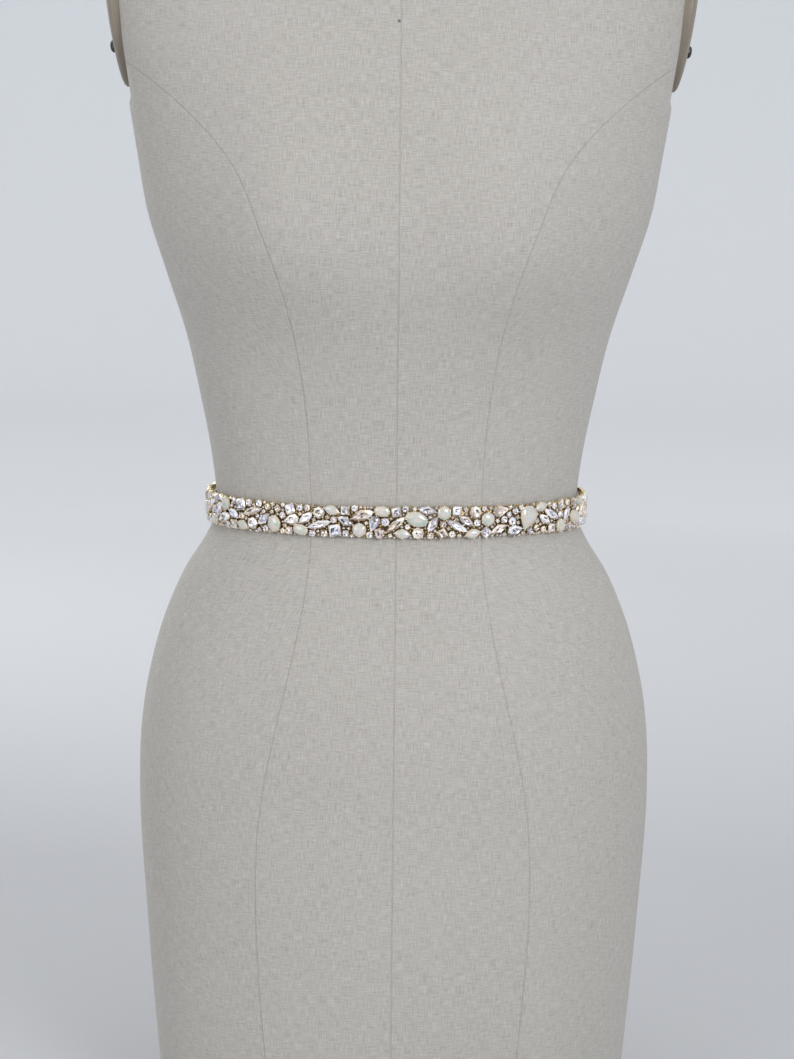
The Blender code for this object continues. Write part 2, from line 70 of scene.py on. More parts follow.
# The dress form's sections: height, half width, front and back from the axis, squareness
WAIST_HEIGHT = 0.400
PIN_HOLE_PLACE = -1.2 * MM
PIN_HOLE_HEIGHT = 0.6982
PIN_HOLE_RADIUS = 1.4 * MM
FORM_LEVELS = (
    (0.000, 0.1490, 0.1000, 0.1060, 2.15),
    (0.055, 0.1545, 0.1050, 0.1130, 2.15),
    (0.135, 0.1610, 0.1090, 0.1230, 2.15),
    (0.215, 0.1655, 0.1100, 0.1280, 2.15),
    (0.255, 0.1640, 0.1100, 0.1230, 2.15),
    (0.295, 0.1575, 0.1070, 0.1110, 2.15),
    (0.335, 0.1455, 0.1000, 0.0995, 2.15),
    (0.360, 0.1340, 0.0945, 0.0915, 2.15),
    (0.378, 0.1225, 0.0900, 0.0865, 2.15),
    (0.392, 0.1162, 0.0880, 0.0845, 2.15),
    (0.400, 0.1150, 0.0875, 0.0840, 2.15),
    (0.408, 0.1152, 0.0877, 0.0842, 2.15),
    (0.432, 0.1180, 0.0895, 0.0865, 2.15),
    (0.471, 0.1255, 0.0950, 0.0925, 2.15),
    (0.509, 0.1340, 0.1025, 0.0970, 2.15),
    (0.547, 0.1460, 0.1090, 0.0990, 2.20),
    (0.585, 0.1580, 0.1090, 0.0995, 2.25),
    (0.622, 0.1645, 0.1050, 0.0990, 2.35),
    (0.662, 0.1715, 0.0990, 0.0980, 2.40),
    (0.700, 0.1800, 0.0900, 0.0955, 2.45),
    (0.735, 0.1860, 0.0780, 0.0910, 2.50),
    (0.762, 0.1870, 0.0620, 0.0840, 2.50),
    (0.775, 0.1820, 0.0500, 0.0780, 2.50),
    (0.784, 0.1660, 0.0425, 0.0720, 2.45),
    (0.796, 0.1300, 0.0370, 0.0680, 2.35),
    (0.808, 0.0970, 0.0345, 0.0670, 2.20),
    (0.819, 0.0740, 0.0340, 0.0680, 2.10),
    (0.831, 0.0610, 0.0345, 0.0695, 2.00),
    (0.846, 0.0555, 0.0355, 0.0715, 2.00),
    (0.878, 0.0540, 0.0360, 0.0720, 2.00),
)
FORM_SIDES = 224
FORM_SPACING = 0.0042
HEM_ROUNDING = 4 * MM

# Bust of the form
BUST_HEIGHT = 0.572
BUST_APART = 0.070
BUST_RISE = 0.022
BUST_WIDE = 0.058
BUST_BELOW = 0.055
BUST_ABOVE = 0.080

# Seams of the form's cover: height, place across at the front, place across at the back.
# The front ones run out to the armholes, the back ones up to the neck.
PRINCESS_SEAM = (
    (0.00, 0.074, 0.070),
    (0.20, 0.084, 0.078),
    (0.40, 0.052, 0.044),
    (0.57, 0.080, 0.072),
    (0.62, 0.104, 0.078),
    (0.66, 0.146, 0.082),
    (0.69, 0.190, 0.085),
    (0.88, 0.260, 0.104),
)
NECK_SEAM = 0.836

# Armholes and the plates on them
ARMHOLE_BOTTOM = 0.655
ARMHOLE_HALF_WIDTH = 0.1686
ARMHOLE_LEAN = 0.12
ARMHOLE_FADE = 1.2
ARMHOLE_EASE = 6 * MM
PLATE_HEIGHT = 0.716
PLATE_BACK = 0.006
PLATE_HALF_DEPTH = 0.040
PLATE_HALF_HEIGHT = 0.054
PLATE_PROFILE = ((1.0, 0.0), (1.004, 1.2), (1.0, 2.4), (0.985, 3.3), (0.95, 4.0), (0.88, 4.8), (0.78, 5.6),
                 (0.64, 6.4), (0.46, 7.1), (0.26, 7.6), (0.10, 7.8))
SCREW_HEIGHT = 0.686
SCREW_FORWARD = 0.016
SCREW_RADIUS = 3.9
SCREW_RISE = 2.2
SCREW_SEAT = 6.2

# Neck cap, from the crown down: radius and height in mm
CAP_CENTRE_Y = 0.018
CAP_PROFILE = ((0.4, 19.0), (7.0, 18.9), (14.0, 18.4), (22.0, 17.4), (30.0, 15.9), (38.0, 13.9), (44.0, 12.0),
               (49.0, 10.2), (53.0, 8.4), (55.4, 6.8), (56.7, 5.0), (57.0, 3.6), (57.0, 1.4), (56.4, 0.4),
               (55.4, 0.0), (0.4, 0.0))

# Ribbon
RIBBON_WIDTH = 16 * MM
RIBBON_MIDDLE = 0.9 * MM
RIBBON_GAP = 0.4 * MM
RIBBON_THICK = 1.0 * MM
RIBBON_PINCH = 0.36
RIBBON_PLEAT = 0.55 * MM

# Jewelled trim, in mm where a value has no unit beside it
TRIM_WIDTH = 20.4
BACKING_WIDTH = 16.5
BACKING_THICK = 1.1
REPEAT = 139.0
STONE_SPACE = 0.25
STONE_SINK = 0.6
BAND_SAMPLES = 1441
BAND_TURN = 0.004
SETTLE_ROUNDS = 300
SETTLE_PUSH = 0.5
SETTLE_PULL = 0.01
SEARCH_STEP = 0.5
SMALL_STONES = (4.6, 3.8, 3.0)
TINY_STONES = (3.0, 2.6, 2.1, 1.7)
SMALL_RISE = 2.0
TINY_SPACE = 0.10
TINY_PRONGED = 2.0
GRAINS = (1.3,)
GROWTH_STEP = 0.01
GROWTH_MOST = 1.22
GROWTH_SPACE = 0.05
EDGE_SPILL = 0.35

# Outlines: how pointed a marquise is, how wide a pear comes out, how round a square is,
# and a triangle's middle reach and how far its corners stand out from it
MARQUISE_POINT = 0.7
PEAR_WIDTH = 0.77
SQUARE_POWER = 0.5
TRIANGLE_REACH = 0.84
TRIANGLE_POINT = 0.13
DISC_PLACES = (-0.78, -0.45, 0.0, 0.45, 0.78)
DISC_SHARES = {"round": 1.0, "square": 1.1, "triangle": 0.86}

# Stones: outline, length, width, rise, and the turns round the outline where prongs hold it
STONES = {
    "brilliant": ("round", 7.8, 7.8, 3.1, (45, 135, 225, 315)),
    "chaton": ("round", 4.6, 4.6, 2.3, (45, 135, 225, 315)),
    "navette": ("marquise", 15.2, 7.4, 3.0, (0, 65, 115, 180, 245, 295)),
    "slim": ("marquise", 15.6, 5.3, 2.7, (0, 65, 115, 180, 245, 295)),
    "leaf": ("marquise", 11.0, 5.8, 2.6, (0, 90, 180, 270)),
    "drop": ("pear", 10.8, 7.2, 2.9, (0, 110, 180, 250)),
    "cushion": ("square", 7.8, 7.8, 3.0, (45, 135, 225, 315)),
    "tile": ("square", 6.1, 6.1, 2.6, (45, 135, 225, 315)),
    "trilliant": ("triangle", 8.4, 8.4, 2.8, (0, 120, 240)),
    "opal_round": ("round", 8.8, 8.8, 3.3, (30, 90, 150, 210, 270, 330)),
    "opal_oval": ("round", 10.2, 7.0, 3.0, (45, 135, 225, 315)),
    "opal_wide": ("round", 10.8, 9.0, 3.4, (30, 90, 150, 210, 270, 330)),
    "opal_large": ("round", 14.4, 9.4, 3.5, (25, 90, 155, 205, 270, 335)),
    "opal_leaf": ("marquise", 10.6, 6.2, 2.8, (0, 90, 180, 270)),
    "opal_pear": ("pear", 16.0, 12.4, 3.8, (0, 80, 130, 180, 230, 280)),
}

# One repeat of the trim: stone, place along the band, place up it, turn in degrees
CHART = (
    ("tile", -65.4, 6.2, 20),
    ("drop", -63.6, -0.8, 195),
    ("chaton", -66.0, -7.2, 0),
    ("opal_oval", -58.2, -6.2, -12),
    ("chaton", -59.4, 7.4, 0),
    ("leaf", -54.6, 1.8, 38),
    ("brilliant", -47.2, 5.6, 0),
    ("slim", -46.8, -3.4, 16),
    ("chaton", -51.0, -7.6, 0),
    ("chaton", -43.6, -7.6, 0),
    ("opal_leaf", -38.6, 6.4, -16),
    ("chaton", -37.0, 0.8, 0),
    ("cushion", -36.6, -5.6, 10),
    ("tile", -29.8, 6.6, 0),
    ("leaf", -30.0, 0.6, -24),
    ("chaton", -30.4, -7.4, 0),
    ("opal_round", -22.4, -4.6, 0),
    ("navette", -20.4, 4.8, 18),
    ("chaton", -25.6, 7.4, 0),
    ("chaton", -15.4, -7.4, 0),
    ("drop", -14.0, -0.6, 250),
    ("trilliant", -8.6, -5.8, 30),
    ("opal_oval", -8.4, 5.8, -8),
    ("chaton", -6.6, 0.2, 0),
    ("slim", -0.4, -1.6, 40),
    ("tile", 0.6, 7.0, 10),
    ("opal_leaf", 3.8, -7.0, -6),
    ("opal_large", 10.8, 1.6, -18),
    ("chaton", 6.6, 7.6, 0),
    ("brilliant", 13.4, -6.2, 0),
    ("leaf", 18.0, 6.8, -10),
    ("chaton", 20.2, -7.4, 0),
    ("leaf", 22.4, -1.2, 58),
    ("opal_round", 29.2, 5.0, 0),
    ("tile", 28.0, -6.2, 30),
    ("chaton", 30.0, -1.8, 0),
    ("slim", 37.2, -4.2, -28),
    ("tile", 36.4, 6.8, 0),
    ("leaf", 41.6, 2.0, -34),
    ("opal_leaf", 46.2, -6.6, 14),
    ("brilliant", 48.0, 5.8, 0),
    ("chaton", 49.4, -0.6, 0),
    ("tile", 54.0, -6.0, 45),
    ("opal_round", 57.0, 2.0, 0),
    ("leaf", 63.0, -4.6, 24),
    ("drop", 64.0, 6.0, 10),
    ("chaton", 66.6, 0.4, 0),
)

# Large opals, once each: stone, place along the band, place up it, turn in degrees
ACCENTS = (
    ("opal_wide", -76.5, -3.4, 105),
    ("opal_pear", 84.0, 1.4, 250),
)

# Studio: the flat floor's radius, the curve up from it and the wall's height, in metres
FLOOR_RADIUS = 5.0
FLOOR_CURVE = 1.6
WALL_HEIGHT = 4.5
AIM_RIGHT = 0.6 * MM
AIM_BELOW = 17 * MM

# Knot and tails at the back
TAIL_LENGTH = 0.300
TAIL_GATHER = 5.4 * MM
TAIL_GATHER_LENGTH = 0.022
TAIL_SPREAD = 0.026
TAIL_OFF_FORM = 0.9 * MM
TAIL_START_OUT = 4.5 * MM
TAIL_WAVE = 2.2 * MM
TAIL_SLANT = 9 * MM
TAIL_FOLD = 0.7 * MM
TAIL_TUCK = 6 * MM
TAIL_TUCK_NARROWING = 0.35
TAIL_STEPS = 150


def colour(name, description, default):
    """A colour setting."""
    return FloatVectorProperty(name=name, description=description, subtype="COLOR", size=3, min=0, max=1,
                               default=default)


def distance(name, description, default, low, high):
    """A length setting."""
    return FloatProperty(name=name, description=description, subtype="DISTANCE", unit="LENGTH",
                         default=default, min=low, max=high)


def angle(name, description, default):
    """An angle setting, from a default in degrees."""
    return FloatProperty(name=name, description=description, subtype="ANGLE", unit="ROTATION",
                         default=math.radians(default), min=-1.5, max=1.5)


class FormLooks(bpy.types.PropertyGroup):
    """Linen cover of the dress form, its plates and its cap."""

    linen: colour("Linen", "Colour of the linen cover", (0.535, 0.515, 0.488))
    thread: colour("Thread", "Colour of the linen's darker threads", (0.255, 0.235, 0.208))
    pitch: distance("Thread pitch", "Distance between two threads of the linen", 0.62 * MM, 0.1 * MM, 5 * MM)
    seam: distance("Seam width", "Width of a seam's shadow line", 0.75 * MM, 0.1 * MM, 5 * MM)
    paint: colour("Paint", "Colour of the plates and the cap", (0.19, 0.162, 0.128))


class RibbonLooks(bpy.types.PropertyGroup):
    """Satin ribbon."""

    satin: colour("Satin", "Colour of the satin", (0.80, 0.765, 0.70))
    thickness: distance("Thickness", "Thickness of the ribbon's double layer", 0.7 * MM, 0.1 * MM, 1 * MM)
    pucker: distance("Pucker", "How far the ribbon stands off and dips in", 0.22 * MM, 0, 2 * MM)


class TrimLooks(bpy.types.PropertyGroup):
    """Stones and their metal settings."""

    gold: colour("Gold", "Colour of the rubbed, raised metal", (0.80, 0.63, 0.33))
    # Tarnish and painted shade: the colour of the metal in the shaded gaps between the stones.
    tarnish: colour("Tarnish", "Colour of the metal down in the gaps", (0.062, 0.036, 0.020))
    milk: colour("Opal", "Colour of the opals' milky body", (0.46, 0.485, 0.435))
    wall: distance("Cup wall", "Thickness of a stone's cup", 0.13 * MM, 0.05 * MM, 1 * MM)
    prong: distance("Prong", "Radius of a prong", 0.36 * MM, 0.1 * MM, 1 * MM)
    sides: IntProperty(name="Facets", description="Facets round a large cut stone", default=8, min=6, max=32)


class StageLooks(bpy.types.PropertyGroup):
    """Floor, backdrop, lights and camera."""

    floor: colour("Floor", "Colour of the floor underfoot", (0.50, 0.51, 0.53))
    far_floor: colour("Far floor", "Colour of the floor 3 m away", (0.85, 0.865, 0.89))
    wall: colour("Wall", "Colour of the wall that the floor curves up into", (0.86, 0.885, 0.91))
    key: FloatProperty(name="Key light", description="Power of the main soft light in watts", default=12.5,
                       min=0, max=2000)
    fill: FloatProperty(name="Fill light", description="Power of the second soft light in watts",
                        default=6.5, min=0, max=2000)
    distance: distance("Camera distance", "From the camera to the waist's axis", 1.6, 0.3, 10)
    tilt: angle("Camera tilt", "How far the camera looks down", 7.9)
    roll: angle("Camera roll", "How far the camera turns round its line of sight", 0.6)
    lens: FloatProperty(name="Lens", description="Focal length in mm over a 36 mm long side", default=84.6,
                        min=10, max=300)


def signed_power(values, exponent):
    """Keep the signs of values while their sizes are raised to a power."""
    return np.sign(values) * np.abs(values) ** exponent


def smooth_curve(table, column, places):
    """Read a column of a table at places in its first column, on a smooth curve."""
    rows = np.array(table)
    known, values = rows[:, 0], rows[:, column]
    slopes = np.gradient(values, known)
    places = np.clip(places, known[0], known[-1])
    row = np.clip(np.searchsorted(known, places, side="right") - 1, 0, len(known) - 2)
    run = known[row + 1] - known[row]
    t = (places - known[row]) / run
    return (values[row] * (1 + 2 * t) * (1 - t) ** 2 + slopes[row] * run * t * (1 - t) ** 2
            + values[row + 1] * t * t * (3 - 2 * t) + slopes[row + 1] * run * t * t * (t - 1))


@lru_cache(maxsize=None)
def level_row(height):
    """Read the form's half width, half depth, middle and squareness off its table."""
    width, front, back, squareness = (float(smooth_curve(FORM_LEVELS, column, height))
                                      for column in (1, 2, 3, 4))
    return width, (front + back) / 2, (back - front) / 2, squareness


def form_level(height):
    """The form's half width, half depth, middle and squareness at a height."""
    return level_row(round(float(height), 7))


def armhole_side(height):
    """Half width of the form's flat side, which only reaches down to the armhole."""
    below = np.maximum(0.0, ARMHOLE_BOTTOM - height)
    return ARMHOLE_HALF_WIDTH + ARMHOLE_LEAN * (height - ARMHOLE_BOTTOM) + ARMHOLE_FADE * below


def soft_min(first, second, ease):
    """The smaller of two values, with a rounded change from one to the other."""
    share = np.maximum(ease - np.abs(first - second), 0.0) / ease
    return np.minimum(first, second) - share * share * ease / 4


def bust(side, height):
    """How far the bust stands out at places across the front."""
    reach = BUST_BELOW if height < BUST_HEIGHT else BUST_ABOVE
    across = sum(np.exp(-(((side - apart) / BUST_WIDE) ** 2)) for apart in (-BUST_APART, BUST_APART))
    return BUST_RISE * across * math.exp(-(((height - BUST_HEIGHT) / reach) ** 2))


def form_ring(height, angles, out=0.0, inset=0.0):
    """Points round the form at a height: angle 0 is +X and a quarter turn back is the front."""
    width, depth, middle, squareness = form_level(height)
    width, depth = width - inset, depth - inset
    x = width * signed_power(np.cos(angles), 2 / squareness)
    y = depth * signed_power(np.sin(angles), 2 / squareness)
    away = np.array((signed_power(x / width, squareness - 1) / width,
                     signed_power(y / depth, squareness - 1) / depth))
    away /= np.hypot(away[0], away[1])
    x = x + out * away[0]
    y = y + out * away[1]
    x = np.copysign(soft_min(np.abs(x), armhole_side(height) + out, ARMHOLE_EASE), x)
    y = y - bust(x, height) * np.maximum(0.0, -away[1])
    return np.column_stack((x, y + middle, np.full(len(x), height)))


def form_side(depth_place, height):
    """Half width of the form at a place from front to back."""
    width, depth, middle, squareness = form_level(height)
    share = min(abs((depth_place - middle) / depth), 1.0)
    return float(soft_min(width * (1 - share ** squareness) ** (1 / squareness), armhole_side(height),
                          ARMHOLE_EASE))


def even_turns(sides):
    """Even angles round a circle."""
    return np.arange(sides) * 2 * math.pi / sides


def turn_angles(sides):
    """Even angles round the form, starting at the back."""
    return even_turns(sides) + math.pi / 2


class Stock:
    """Points and faces of like shapes, gathered and then made into one mesh."""

    def __init__(self):
        self.points = []
        self.faces = []
        self.values = {}
        self.count = 0

    def add(self, points, faces, **values):
        """Add a shape. A value is one number, or one for each of its points."""
        self.points.append(np.asarray(points, dtype=float))
        self.faces += [tuple(self.count + corner for corner in face) for face in faces]
        for name, value in values.items():
            self.values.setdefault(name, []).append(np.broadcast_to(value, len(points)))
        self.count += len(points)

    def piece(self, name, material, smooth_angle=None):
        """Make the gathered shapes an object."""
        mesh = bpy.data.meshes.new(name)
        mesh.from_pydata(np.concatenate(self.points).tolist(), [], self.faces)
        for label, values in self.values.items():
            layer = mesh.attributes.new(label, "FLOAT", "POINT")
            layer.data.foreach_set("value", np.concatenate(values).astype(np.float32))
        bm = bmesh.new()
        bm.from_mesh(mesh)
        bmesh.ops.recalc_face_normals(bm, faces=bm.faces)
        bm.to_mesh(mesh)
        bm.free()
        if smooth_angle is not None:
            mesh.shade_smooth()
            mesh.set_sharp_from_angle(angle=math.radians(smooth_angle))
        mesh.materials.append(material)
        made = bpy.data.objects.new(name, mesh)
        bpy.context.scene.collection.objects.link(made)
        return made


def single(name, material, points, faces, smooth_angle):
    """Make one shape an object."""
    stock = Stock()
    stock.add(points, faces)
    return stock.piece(name, material, smooth_angle)


def lofted(sections, cyclic=False, closed=True):
    """Points and faces of like sections joined in order. Closed sections are loops."""
    sides = len(sections[0])
    count = len(sections)
    faces = []
    for row in range(count if cyclic else count - 1):
        first, second = row * sides, (row + 1) % count * sides
        for step in range(sides if closed else sides - 1):
            after = (step + 1) % sides
            faces.append((first + step, first + after, second + after, second + step))
    if closed and not cyclic:
        faces.append(tuple(range(sides)))
        faces.append(tuple(range((count - 1) * sides, count * sides)))
    return np.concatenate(sections), faces


def settle_piece(made, slot, *nodes):
    """Let a piece ride on the body and stand for its nodes. Its slot is not used."""
    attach(made, "root")
    if nodes:
        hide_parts(*nodes)
    return made


def add_uv(made, places):
    """Give a mesh a map in metres, from one flat place for each of its points."""
    layer = made.data.uv_layers.new(name="cloth")
    corners = np.empty(len(made.data.loops), dtype=np.int32)
    made.data.loops.foreach_get("vertex_index", corners)
    layer.data.foreach_set("uv", np.asarray(places, dtype=np.float32)[corners].ravel())


def node(tree, kind, inputs=(), **settings):
    """Add a node. Inputs are pairs of a socket's name or number and a value or another node's output."""
    made = tree.nodes.new(kind)
    for name, value in settings.items():
        setattr(made, name, value)
    for socket, value in inputs:
        if isinstance(value, bpy.types.NodeSocket):
            tree.links.new(value, made.inputs[socket])
        else:
            made.inputs[socket].default_value = value
    return made


def maths(tree, operation, *values):
    """The output of a Math node."""
    return node(tree, "ShaderNodeMath", enumerate(values), operation=operation).outputs[0]


def ramp(tree, value, stops):
    """The colour of a Color Ramp node. Stops are pairs of a place and a colour."""
    made = node(tree, "ShaderNodeValToRGB", [(0, value)])
    elements = made.color_ramp.elements
    while len(elements) < len(stops):
        elements.new(0.5)
    for element, (place, colour) in zip(elements, stops):
        element.position = place
        element.color = (*colour, 1.0)
    return made.outputs[0]


def mixed(tree, share, first, second):
    """The colour between two colours."""
    made = node(tree, "ShaderNodeMix", data_type="RGBA")
    for socket, value in ((made.inputs[0], share), (made.inputs[6], first), (made.inputs[7], second)):
        if isinstance(value, bpy.types.NodeSocket):
            tree.links.new(value, socket)
        else:
            socket.default_value = value if isinstance(value, float) else (*value, 1.0)
    return made.outputs[2]


def attribute(tree, name):
    """The number that a mesh stores for each of its points."""
    return node(tree, "ShaderNodeAttribute", attribute_name=name).outputs["Fac"]


def shared(build):
    """Build a node group once, under its function's name, and use it again."""
    def get():
        name = build.__name__.replace("_", " ").capitalize()
        return bpy.data.node_groups.get(name) or build(name)
    return get


def new_group(name, inputs, outputs):
    """A node group with float or vector sockets, and its two end nodes."""
    tree = bpy.data.node_groups.new(name, "ShaderNodeTree")
    for label, kind, default in inputs:
        socket = tree.interface.new_socket(name=label, in_out="INPUT", socket_type=kind)
        if default is not None:
            socket.default_value = default
    for label, kind in outputs:
        tree.interface.new_socket(name=label, in_out="OUTPUT", socket_type=kind)
    return tree, tree.nodes.new("NodeGroupInput").outputs, tree.nodes.new("NodeGroupOutput").inputs


@shared
def thread_weave(name):
    """Woven threads: where each thread lies high, and how thick or dark it is there."""
    tree, ins, outs = new_group(
        name,
        (("Place", "NodeSocketVector", None), ("Pitch", "NodeSocketFloat", 0.6 * MM),
         ("Slub", "NodeSocketFloat", 0.5), ("Lengthwise", "NodeSocketFloat", 1.0)),
        (("Height", "NodeSocketFloat"), ("Tone", "NodeSocketFloat")),
    )
    drift = node(tree, "ShaderNodeTexNoise", [("Vector", ins["Place"]), ("Scale", 140.0), ("Detail", 1.0)])
    shift = node(tree, "ShaderNodeVectorMath", [(0, drift.outputs["Color"]), (1, (0.0011,) * 3),
                                               (2, ins["Place"])], operation="MULTIPLY_ADD")
    parts = node(tree, "ShaderNodeSeparateXYZ", [(0, shift.outputs[0])]).outputs
    turn = maths(tree, "DIVIDE", 2 * math.pi, ins["Pitch"])
    across = maths(tree, "SINE", maths(tree, "MULTIPLY", parts[0], turn))
    along = maths(tree, "SINE", maths(tree, "MULTIPLY", parts[1], turn))
    crossing = maths(tree, "MULTIPLY", across, maths(tree, "MULTIPLY", along, ins["Lengthwise"]))
    weave = maths(tree, "MULTIPLY_ADD", crossing, 0.35, 0.5)
    tones = []
    for scale in ((130.0, 1900.0, 1.0), (1900.0, 130.0, 1.0)):
        stretched = node(tree, "ShaderNodeVectorMath", [(0, ins["Place"]), (1, scale)], operation="MULTIPLY")
        noise = node(tree, "ShaderNodeTexNoise", [("Vector", stretched.outputs[0]), ("Scale", 1.0),
                                                 ("Detail", 2.0), ("Roughness", 0.6)])
        tones.append(noise.outputs["Fac"])
    both = maths(tree, "ADD", tones[0], tones[1])
    tone = maths(tree, "SUBTRACT", both, 0.5)
    slubbed = maths(tree, "MULTIPLY", maths(tree, "SUBTRACT", both, 1.0), ins["Slub"])
    tree.links.new(maths(tree, "ADD", weave, slubbed), outs["Height"])
    tree.links.new(tone, outs["Tone"])
    return tree


@shared
def soft_mottling(name):
    """Slow, uneven change over a surface, from 0 to 1."""
    tree, ins, outs = new_group(
        name,
        (("Place", "NodeSocketVector", None), ("Scale", "NodeSocketFloat", 20.0),
         ("Contrast", "NodeSocketFloat", 1.0)),
        (("Amount", "NodeSocketFloat"),),
    )
    noise = node(tree, "ShaderNodeTexNoise", [("Vector", ins["Place"]), ("Scale", ins["Scale"]),
                                             ("Detail", 4.0), ("Roughness", 0.55)])
    centred = maths(tree, "SUBTRACT", noise.outputs["Fac"], 0.5)
    spread = maths(tree, "MULTIPLY", centred, ins["Contrast"])
    amount = maths(tree, "ADD", spread, 0.5)
    amount.node.use_clamp = True
    tree.links.new(amount, outs["Amount"])
    return tree


@shared
def seam_line(name):
    """A mask that is 1 on a seam and falls to 0 at its width's edge."""
    tree, ins, outs = new_group(
        name,
        (("Distance", "NodeSocketFloat", 0.0), ("Width", "NodeSocketFloat", MM)),
        (("Mask", "NodeSocketFloat"),),
    )
    apart = maths(tree, "DIVIDE", maths(tree, "ABSOLUTE", ins["Distance"]), ins["Width"])
    mask = maths(tree, "SUBTRACT", 1.0, apart)
    mask.node.use_clamp = True
    tree.links.new(mask, outs["Mask"])
    return tree


def use_group(tree, group, **inputs):
    """Place a node group in a material."""
    return node(tree, "ShaderNodeGroup", inputs.items(), node_tree=group).outputs


def mottled(tree, place, scale, contrast):
    """Soft mottling at a place."""
    return use_group(tree, soft_mottling(), Place=place, Scale=scale, Contrast=contrast)["Amount"]


def new_material(name, **sockets):
    """A material with its Principled BSDF's own sockets set, and its tree and shader."""
    made = bpy.data.materials.new(name)
    made.use_nodes = True
    shader = made.node_tree.nodes["Principled BSDF"]
    for label, value in sockets.items():
        shader.inputs[label.replace("_", " ")].default_value = value
    return made, made.node_tree, shader


def bumped(tree, shader, height, strength, distance):
    """Feed a height into the shader's normal through a Bump node."""
    bump = node(tree, "ShaderNodeBump", [("Height", height), ("Strength", strength),
                                        ("Distance", distance)])
    tree.links.new(bump.outputs[0], shader.inputs["Normal"])


def linen_material(looks):
    """Plain linen: uneven threads, soft mottling and shadowed seams."""
    made, tree, shader = new_material("Form linen", Roughness=0.88, Sheen_Weight=0.12,
                                      Sheen_Roughness=0.6, Specular_IOR_Level=0.25)
    place = node(tree, "ShaderNodeUVMap", uv_map="cloth").outputs[0]
    weave = use_group(tree, thread_weave(), Place=place, Pitch=looks.pitch, Slub=0.9)
    patches = mottled(tree, place, 9.0, 1.4)
    fine = mottled(tree, place, 420.0, 1.6)
    threads = maths(tree, "SUBTRACT", maths(tree, "MULTIPLY", weave["Tone"], 1.1), 0.12)
    tone = maths(tree, "ADD", threads, maths(tree, "MULTIPLY", fine, 0.14))
    cloth = mixed(tree, tone, tuple(looks.thread), tuple(looks.linen))
    faded = mixed(tree, maths(tree, "MULTIPLY", patches, 0.18), cloth, (0.52, 0.50, 0.48))
    masks = 0.0
    for label in ("centre", "princess", "side", "neck"):
        mask = use_group(tree, seam_line(), Distance=attribute(tree, label), Width=looks.seam)["Mask"]
        masks = maths(tree, "MAXIMUM", masks, mask)
    uneven = maths(tree, "ADD", maths(tree, "MULTIPLY", fine, 0.28), 0.12)
    dark = mixed(tree, maths(tree, "MULTIPLY", masks, uneven), faded, (0.24, 0.215, 0.19))
    # A pin hole that is painted, not cut: its near black is painted shade inside the hole.
    across = maths(tree, "SUBTRACT", attribute(tree, "centre"), PIN_HOLE_PLACE)
    up = maths(tree, "SUBTRACT", attribute(tree, "neck"), PIN_HOLE_HEIGHT - NECK_SEAM)
    away = maths(tree, "SQRT", maths(tree, "ADD", maths(tree, "MULTIPLY", across, across),
                                     maths(tree, "MULTIPLY", up, up)))
    hole = use_group(tree, seam_line(), Distance=away, Width=PIN_HOLE_RADIUS)["Mask"]
    pierced = maths(tree, "MULTIPLY", hole, maths(tree, "LESS_THAN", attribute(tree, "side"), 0.0))
    tree.links.new(mixed(tree, pierced, dark, (0.02, 0.018, 0.016)), shader.inputs["Base Color"])
    height = maths(tree, "SUBTRACT", weave["Height"], maths(tree, "MULTIPLY", masks, 3.0))
    bumped(tree, shader, height, 0.55, 0.25 * MM)
    return made


def paint_material(looks):
    """Satin paint with a fine orange-peel and rubbed patches."""
    made, tree, shader = new_material("Plate paint", Specular_IOR_Level=0.45)
    place = node(tree, "ShaderNodeTexCoord").outputs["Object"]
    patches = mottled(tree, place, 60.0, 1.6)
    peel = mottled(tree, place, 900.0, 1.0)
    paint = tuple(looks.paint)
    worn = tuple(part * 1.25 for part in paint)
    tree.links.new(mixed(tree, patches, paint, worn), shader.inputs["Base Color"])
    rough = maths(tree, "MULTIPLY_ADD", patches, 0.22, 0.34)
    tree.links.new(rough, shader.inputs["Roughness"])
    bumped(tree, shader, peel, 0.2, 0.1 * MM)
    return made


def screw_material():
    """Blackened steel of a screw."""
    made, tree, shader = new_material("Screw steel", Metallic=1.0)
    place = node(tree, "ShaderNodeTexCoord").outputs["Object"]
    grime = mottled(tree, place, 700.0, 2.0)
    tree.links.new(mixed(tree, grime, (0.03, 0.03, 0.032), (0.12, 0.115, 0.11)),
                   shader.inputs["Base Color"])
    rough = maths(tree, "MULTIPLY_ADD", grime, 0.3, 0.3)
    tree.links.new(rough, shader.inputs["Roughness"])
    return made


def satin_material(looks):
    """Satin: fine lengthwise threads, a soft sheen and faint creases, whose hollows are painted darker as
    shade.
    """
    found = bpy.data.materials.get("Ribbon satin")
    if found:
        return found
    made, tree, shader = new_material("Ribbon satin", Specular_IOR_Level=0.7, Sheen_Weight=0.2,
                                      Sheen_Roughness=0.3, Coat_Weight=0.28, Coat_Roughness=0.2)
    place = node(tree, "ShaderNodeUVMap", uv_map="cloth").outputs[0]
    weave = use_group(tree, thread_weave(), Place=place, Pitch=0.28 * MM, Slub=0.5, Lengthwise=0.35)
    creases = mottled(tree, place, 110.0, 1.5)
    satin = tuple(looks.satin)
    thread_and_crease_shade = tuple(part * 0.86 for part in satin)
    # Darker threads, and painted shade where the crease bump dips.
    tone = maths(tree, "ADD", maths(tree, "MULTIPLY", weave["Tone"], 0.6),
                 maths(tree, "MULTIPLY", creases, 0.4))
    tree.links.new(mixed(tree, tone, thread_and_crease_shade, satin), shader.inputs["Base Color"])
    rough = maths(tree, "MULTIPLY_ADD", creases, 0.16, 0.22)
    tree.links.new(rough, shader.inputs["Roughness"])
    height = maths(tree, "ADD", maths(tree, "MULTIPLY", weave["Height"], 0.3),
                   maths(tree, "MULTIPLY", creases, 2.2))
    bumped(tree, shader, height, 0.5, 0.12 * MM)
    return made


